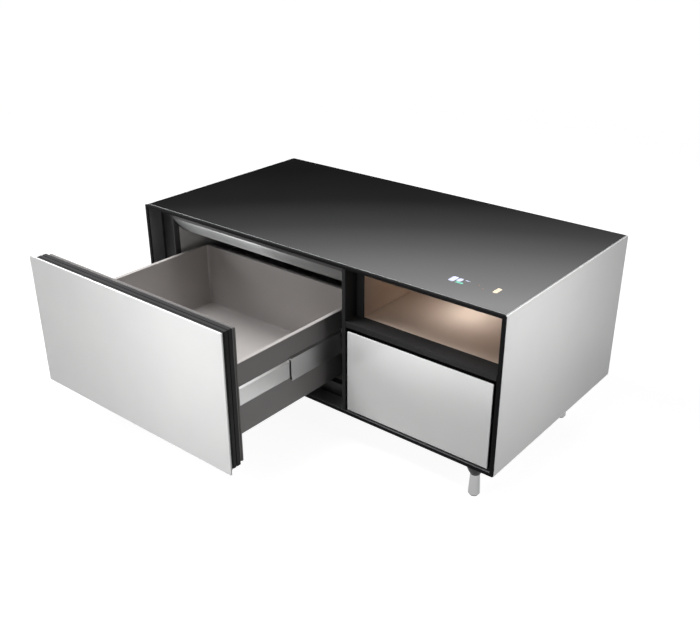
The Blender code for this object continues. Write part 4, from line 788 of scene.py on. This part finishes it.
class TABLE_OT_machine_room(BuildOperator, bpy.types.Operator):
    """Adds the compressor, condenser, pipes, power module and power inlet"""
    bl_idname = "table.machine_room"
    bl_label = "Machine Room"

    def build(self, sizes):
        self.compressor()
        self.condenser(sizes)
        self.pipes()
        self.power()

    def compressor(self):
        """Two pressed shells joined by a weld bead, on a foot plate with rubber mounts."""
        low, high = CAD["compressor"]
        middle, bead = (low + high) / 2, 0.0015
        radius, base, top = (high[1] - low[1]) / 2 - bead, low[2] + 0.006, high[2]
        turn = np.linspace(0, np.pi / 2, 9)
        dome = np.stack([radius - 0.034 + 0.034 * np.cos(turn), top - 0.030 + 0.030 * np.sin(turn)], -1)
        bowl = np.stack([radius - 0.020 + 0.020 * np.sin(turn), base + 0.018 * (1 - np.cos(turn))], -1)
        seam = base + (top - base) * 0.55
        weld = [(radius, seam - 0.003), (radius + bead, seam - 0.0018), (radius + bead, seam + 0.0018),
                (radius - 0.0006, seam + 0.003)]
        shell = turned(np.concatenate([bowl, weld, dome]), (*middle[:2], 0), sides=64)
        piece("compressor_shell", [shell], "baked_black_enamel", "black_steel", ["compressor"])
        plate = slab((low[0], low[1] + 0.012, low[2] + 0.006), (high[0], high[1] - 0.012, low[2] + 0.009), 2, 0.008,
                     0.0006)
        spots = [(x, y, low[2]) for x in (low[0] + 0.009, high[0] - 0.009) for y in (low[1] + 0.022, high[1] - 0.022)]
        mount = turned([(0.0075, 0), (0.0075, 0.002), (0.0055, 0.003), (0.0055, 0.006), (0.0075, 0.0065),
                        (0.0075, 0.011), (0.004, 0.012)], sides=24)
        bolt = turned([(0.0035, 0.012), (0.0035, 0.0145)], sides=6)
        cover = slab((middle[0] - 0.020, high[1] - 0.016, seam + 0.008),
                     (middle[0] + 0.020, high[1] + 0.010, seam + 0.042), 1, 0.004, 0.0015)
        piece("compressor_foot_plate", [plate], "powder_coated_steel", "black_steel")
        piece("compressor_mounts", [copies(mount, spots)], "vulcanised_rubber", "black_plastic")
        piece("compressor_bolts", [copies(bolt, spots)], "nickel_plated_steel", "zinc_steel")
        piece("compressor_terminal_cover", [cover], "moulded_black_abs", "black_plastic")

    def condenser(self, sizes):
        """A stack of thin fins between two end plates, threaded by a tube that turns back at each end."""
        low, high = CAD["condenser"]
        room, inset = 0.012, 0.001
        fins = np.arange(low[0] + room + 0.002, high[0] - room - 0.001, sizes.fin_pitch)
        fin = slab((-0.00016, low[1] + inset, low[2] + inset), (0.00016, high[1] - inset, high[2] - inset), 0, 0.001,
                   0.00008, 1, 1)
        plate = slab((-0.0005, low[1], low[2]), (0.0005, high[1], high[2]), 0, 0.001, 0.0003)
        piece("condenser_fins", [copies(fin, np.outer(fins, (1, 0, 0))),
                                 copies(plate, [(low[0] + room, 0, 0), (high[0] - room, 0, 0)])],
              "mill_finish_aluminium", "aluminium", ["condenser"])
        levels = np.linspace(low[2] + 0.012, high[2] - 0.012, 8)
        tubes = [winding(low[0] + 0.0055, high[0] - 0.0055, levels, 2, y, 0.0075, 0.0033)
                 for y in (low[1] + 0.009, high[1] - 0.009)]
        piece("condenser_tube", tubes, "drawn_copper", "copper")

    def pipes(self):
        """Smooth tubes between the ends of the CAD pipes."""
        low, high = CAD["suction_pipe"]
        x, y, z = high - PIPE_RADIUS
        route = [(low[0], y, z), (x, y, z), (x, y, low[2] - 0.002)]
        suction = tube(soften(route, 0.018, 10, closed=False), PIPE_RADIUS, 18)
        piece("suction_tube", [suction], "drawn_copper", "copper", ["suction_pipe"])
        low, high = CAD["discharge_pipe"]
        y, z = ((low + high) / 2)[1:]
        route = np.linspace((low[0] - 0.004, y, z), (high[0] + 0.004, y, z), 6)
        piece("discharge_tube", [tube(route, PIPE_RADIUS, 18)], "drawn_copper", "copper", ["discharge_pipe"])

    def power(self):
        """A ribbed housing on the bulkhead, and an inlet socket with three flat pins."""
        low, high = CAD["power_module"]
        ribs = np.arange(low[0] + 0.012, high[0] - 0.010, 0.008)
        rib = slab((-0.0015, high[1] - 0.006, low[2] + 0.010), (0.0015, high[1], high[2] - 0.010), 1, 0.001, 0.0006)
        case = slab(low, (high[0], high[1] - 0.004, high[2]), 1, 0.004, 0.002)
        piece("power_module_case", [case, copies(rib, np.outer(ribs, (1, 0, 0)))], "moulded_black_abs",
              "black_plastic", ["power_module"])
        low, high = CAD["power_inlet"]
        section = [(0, low[1]), (0, high[1] - 0.0004), (0.0004, high[1]), (0.0017, high[1]), (0.002, high[1] - 0.0004),
                   (0.002, low[1] + 0.005)]
        piece("power_inlet_shell", [skin(contour(low, high, 1, section, 0.0025))], "moulded_black_abs",
              "black_plastic", ["power_inlet"])
        pin = slab((-0.001, low[1] + 0.004, -0.002), (0.001, low[1] + 0.016, 0.002), 1, 0.0004, 0.0004)
        spots = (low + high) / 2 * (1, 0, 1) + [(-0.007, 0, -0.0035), (0.007, 0, -0.0035), (0, 0, 0.0035)]
        piece("power_inlet_pins", [copies(pin, spots)], "nickel_plated_steel", "zinc_steel")


class TABLE_OT_fan(BuildOperator, bpy.types.Operator):
    """Adds the condenser fan: shroud, motor on four arms and twisted blades"""
    bl_idname = "table.fan"
    bl_label = "Condenser Fan"

    def build(self, sizes):
        low, high = CAD["fan_shroud"]
        centre = np.array([(low[0] + high[0]) / 2, 0, high[2] - FAN_HALF])
        self.shroud(low, high, centre)
        self.rotor(sizes, centre)

    def shroud(self, low, high, centre):
        """A square plate round a bore: the square's rays are half / max(|cos t|, |sin t|)."""
        front, back, foot, arm_half, hole = low[1], high[1], 0.014, 0.0028, 0.0525
        angle = (np.arange(96) + 0.5) / 96 * 2 * np.pi
        ray = np.stack([np.cos(angle), np.sin(angle)], -1)
        square = np.clip(ray * FAN_HALF / np.maximum(np.abs(ray[:, :1]), np.abs(ray[:, 1:])), -FAN_HALF, FAN_HALF)
        rows = [(square, front), (square, back), (ray * (FAN_BORE + 0.001), back), (ray * FAN_BORE, back - 0.001),
                (ray * FAN_BORE, front + 0.004), (ray * (FAN_BORE + 0.0015), front)]
        ring = skin(lift(np.stack([flat for flat, at in rows]), 1, [at for flat, at in rows]) + centre, wrap=True)
        feet = slab(low, (low[0] + foot, back, centre[2] - 0.055), 1, 0.002, 0.001)
        arm = slab((0.015, back - 0.008, -arm_half), (0.0575, back - 0.0005, arm_half), 0, 0.001, 0.0004)
        arms = spun(copies(arm, [centre]), centre, 1, np.arange(4) * np.pi / 2)
        motor = turned([(0.017, back - 0.0083), (0.017, back - 0.001), (0.016, back)], centre, 1)
        screws = np.array([(x, back - 0.0002, z) for x in (-hole, hole) for z in (-hole, hole)]) + centre
        piece("fan_shroud_ring", [ring, copies(feet, [(0, 0, 0), (high[0] - low[0] - foot, 0, 0)]), arms, motor],
              "moulded_black_abs", "black_plastic", ["fan_shroud"])
        piece("fan_screws", [copies(screw_head(0.0032, 0.0012), screws)], "nickel_plated_steel", "zinc_steel")

    def rotor(self, sizes, centre):
        """Blades whose pitch falls from hub to tip: point (r, s) lies at angle a(r) s, height h(r) s."""
        low, high = CAD["fan_rotor"]
        radius, across = np.meshgrid(np.linspace(BLADE_ROOT, BLADE_TIP, 9), np.linspace(-0.5, 0.5, 9), indexing="ij")
        share = (radius - BLADE_ROOT) / (BLADE_TIP - BLADE_ROOT)
        pitch, chord = np.radians(52 - 22 * share), 0.0165 + 0.012 * share
        sweep = across * chord * np.cos(pitch) / radius + 0.25 * share
        rise = across * chord * np.sin(pitch) * 0.62 + 0.0012 * np.cos(np.pi * across)
        half = 0.0007 * np.sqrt(np.clip(1 - (2 * across) ** 2, 0.05, 1))
        under, over = (np.stack([radius * np.cos(sweep), rise + side * half, radius * np.sin(sweep)], -1)
                       for side in (-1, 1))
        points, faces = skin(np.concatenate([under, over[:, ::-1]], axis=1))
        blade = points + (centre[0], (low[1] + high[1]) / 2, centre[2]), faces
        hub = turned([(0.0175, low[1]), (0.019, low[1] + 0.0015), (0.019, high[1])], centre, 1)
        turns = np.arange(sizes.fan_blades) / sizes.fan_blades * 2 * np.pi
        piece("fan_rotor_blades", [hub, spun(blade, centre, 1, turns)], "moulded_black_abs", "black_plastic",
              ["fan_rotor"], "fan_rotor")


# The studio's lamps: place, target, size, watts and width of the beam in degrees
LAMPS = {
    "overhead_softbox": ((-0.6, -0.5, 2.0), (0.0, -0.2, 0.3), (0.9, 0.9), 49, 180),
    "left_softbox": ((-2.0, -1.2, 1.2), (0.0, -0.2, 0.3), (0.8, 0.8), 14, 180),
    "front_softbox": ((0.1, -1.0, 0.47), (0.0, -0.35, 0.35), (0.35, 0.35), 1.75, 160),
    "right_softbox": ((1.15, 0.0, 0.6), (0.5, 0.0, 0.35), (0.35, 0.35), 1.9, 180),
    "right_spot": ((2.2, -0.1, 0.9), (0.55, -0.1, 0.55), (0.3, 0.3), 0.41, 40),
    "front_spot": ((0.72, -2.4, 0.9), (0.47, -0.11, 0.375), (0.5, 0.08), 0.11, 8),
    "bin_spot": ((-0.15, -0.97, 1.53), (-0.24, 0.03, 0.14), (0.35, 0.35), 0.05, 16),
    "rear_softbox": ((-0.3, 2.3, 1.1), (-0.1, 0.5, 0.2), (0.8, 0.8), 12, 180),
    "niche_light": ((0.342, 0.107, 0.44), (0.342, 0.107, 0.33), (0.012, 0.1), 0.1, 140),
    "steel_strip_light": ((-1.91, -1.86, 0.696), (-0.213, -0.05, 0.408), (0.14, 0.75), 54, 180),
}

# Brightness of the studio in reflections, by the height that a ray looks at: dark below, white above the horizon
REFLECTED = ((0.0, 0.015), (0.281, 0.015), (0.312, 0.033), (0.339, 0.125), (0.36, 0.28), (0.397, 0.66),
             (0.418, 0.95), (0.45, 1.0), (0.65, 1.0), (0.85, 0.55), (1.0, 0.45))


class TABLE_OT_studio(BuildOperator, bpy.types.Operator):
    """Adds the floor, the soft studio light and the camera"""
    bl_idname = "table.studio"
    bl_label = "Studio"

    def build(self, sizes):
        scene = bpy.context.scene
        self.floor()
        self.world(scene)
        for name, setting in LAMPS.items():
            self.lamp(name, *setting)
        self.camera(scene)
        scene.view_settings.view_transform = "Standard"

    def floor(self):
        """A pale floor that is white to the camera and in reflections, and keeps the table's shadow."""
        corners = outline((-40, -40), (40, 40), 0, 0)
        mesh = bpy.data.meshes.new("studio_floor")
        mesh.from_pydata(lift(corners, 2, 0)[0], [], [(0, 1, 2, 3)])
        made = bpy.data.objects.new("studio_floor", mesh)
        bpy.context.scene.collection.objects.link(made)
        look = bpy.data.materials.new("matte_studio_paper")
        tree = empty_tree(look)
        seen = add_node(tree, "LightPath")
        either = add_node(tree, "Math", {"operation": "MAXIMUM"},
                          links={0: (seen, "Is Camera Ray"), 1: (seen, "Is Glossy Ray")})
        shown = add_node(tree, "Math", {"operation": "MAXIMUM"}, links={0: either, 1: (seen, "Is Transmission Ray")})
        place = add_node(tree, "TexCoord")
        away = add_node(tree, "VectorMath", {"operation": "LENGTH"}, links={0: (place, "Object")})
        white = add_node(tree, "MapRange", values={"From Min": 1.0, "From Max": 5.0, "To Min": 0.93, "To Max": 1.0},
                         links={"Value": (away, "Value")})
        glow = add_node(tree, "Math", {"operation": "MULTIPLY"}, links={0: shown, 1: white})
        paper = add_node(tree, "BsdfPrincipled",
                         values={"Base Color": linear("#8c8c8c"), "Roughness": 0.9, "Specular IOR Level": 0.0,
                                 "Emission Color": (1, 1, 1, 1)}, links={"Emission Strength": glow})
        add_node(tree, "OutputMaterial", links={"Surface": paper})
        mesh.materials.append(look)

    def world(self, scene):
        """Even fill light, and for reflections a studio whose brightness rises with height."""
        scene.world = bpy.data.worlds.new("studio_world")
        tree = empty_tree(scene.world)
        seen = add_node(tree, "LightPath")
        way = add_node(tree, "TexCoord")
        height = add_node(tree, "SeparateXYZ", links={"Vector": (way, "Generated")})
        ramp = add_node(tree, "ValToRGB", links={"Fac": (height, "Z")})
        stops = ramp.color_ramp.elements
        while len(stops) < len(REFLECTED):
            stops.new(0.5)
        for stop, (at, level) in zip(stops, REFLECTED):
            stop.position, stop.color = at, (level, level, level, 1)
        fill = add_node(tree, "Background", values={"Color": (1, 1, 1, 1), "Strength": 0.02})
        mirror = add_node(tree, "Background", values={"Strength": 2.5}, links={"Color": ramp})
        white = add_node(tree, "Background", values={"Color": (1, 1, 1, 1), "Strength": 1.0})
        glossy = add_node(tree, "MixShader", links={0: (seen, "Is Glossy Ray"), 1: fill, 2: mirror})
        direct = add_node(tree, "MixShader", links={0: (seen, "Is Camera Ray"), 1: glossy, 2: white})
        add_node(tree, "OutputWorld", links={"Surface": direct})

    def lamp(self, name, place, target, size, watts, spread):
        """A softbox turned towards its target. The steel's strip light shows in reflections alone, the rest never."""
        light = bpy.data.lights.new(name, "AREA")
        light.shape, light.energy, light.spread = "RECTANGLE", watts, np.radians(spread)
        light.size, light.size_y = size
        made = bpy.data.objects.new(name, light)
        bpy.context.scene.collection.objects.link(made)
        back = np.subtract(place, target)
        made.matrix_world = self.facing(back / np.linalg.norm(back), place)
        made.visible_camera = False
        made.visible_glossy = name == "steel_strip_light"
        made.visible_diffuse = not made.visible_glossy

    def facing(self, back, place):
        """A frame whose +Z is back and whose X is level."""
        right = np.cross((0, 1e-6, 1), back)
        right /= np.linalg.norm(right)
        turn = np.eye(4)
        turn[:3, :3] = np.stack([right, np.cross(back, right), back], -1)
        turn[:3, 3] = place
        return Matrix(turn.tolist())

    def camera(self, scene):
        """The photograph's camera: azimuth 39.05 degrees, elevation 26.02 degrees."""
        azimuth, elevation = np.radians(39.048), np.radians(26.024)
        back = np.array([np.sin(azimuth) * np.cos(elevation), -np.cos(azimuth) * np.cos(elevation), np.sin(elevation)])
        data = bpy.data.cameras.new("photograph_camera")
        data.sensor_fit, data.sensor_width, data.lens, data.clip_end = "HORIZONTAL", 36.0, 45.308, 60
        made = bpy.data.objects.new("photograph_camera", data)
        scene.collection.objects.link(made)
        made.matrix_world = self.facing(back, (1.2919, -1.5121, 1.2160))
        scene.camera = made


OPERATORS = (TABLE_OT_glass, TABLE_OT_front_frame, TABLE_OT_carcass, TABLE_OT_cold_cabinet, TABLE_OT_niche,
             TABLE_OT_legs, TABLE_OT_drawer_fronts, TABLE_OT_gasket, TABLE_OT_boxes, TABLE_OT_slides,
             TABLE_OT_machine_room, TABLE_OT_fan, TABLE_OT_studio)


class TABLE_PT_panel(bpy.types.Panel):
    """Sidebar panel that lists the table's pieces"""
    bl_idname = "TABLE_PT_panel"
    bl_label = "Coffee Table"
    bl_space_type = "VIEW_3D"
    bl_region_type = "UI"
    bl_category = "Coffee Table"

    def draw(self, context):
        for group in (context.scene.table_sizes, context.scene.table_colours):
            for name in group.__annotations__:
                self.layout.prop(group, name)
        for operator in OPERATORS:
            self.layout.operator(operator.bl_idname)


CLASSES = (TableSizes, TableColours, *OPERATORS, TABLE_PT_panel)


def register():
    for entry in CLASSES:
        bpy.utils.register_class(entry)
    bpy.types.Scene.table_sizes = PointerProperty(type=TableSizes)
    bpy.types.Scene.table_colours = PointerProperty(type=TableColours)


def unregister():
    del bpy.types.Scene.table_colours
    del bpy.types.Scene.table_sizes
    for entry in reversed(CLASSES):
        bpy.utils.unregister_class(entry)


def main():
    """Builds the whole table."""
    register()
    for operator in OPERATORS:
        group, name = operator.bl_idname.split(".")
        getattr(getattr(bpy.ops, group), name)()


if __name__ == "__main__":
    main()
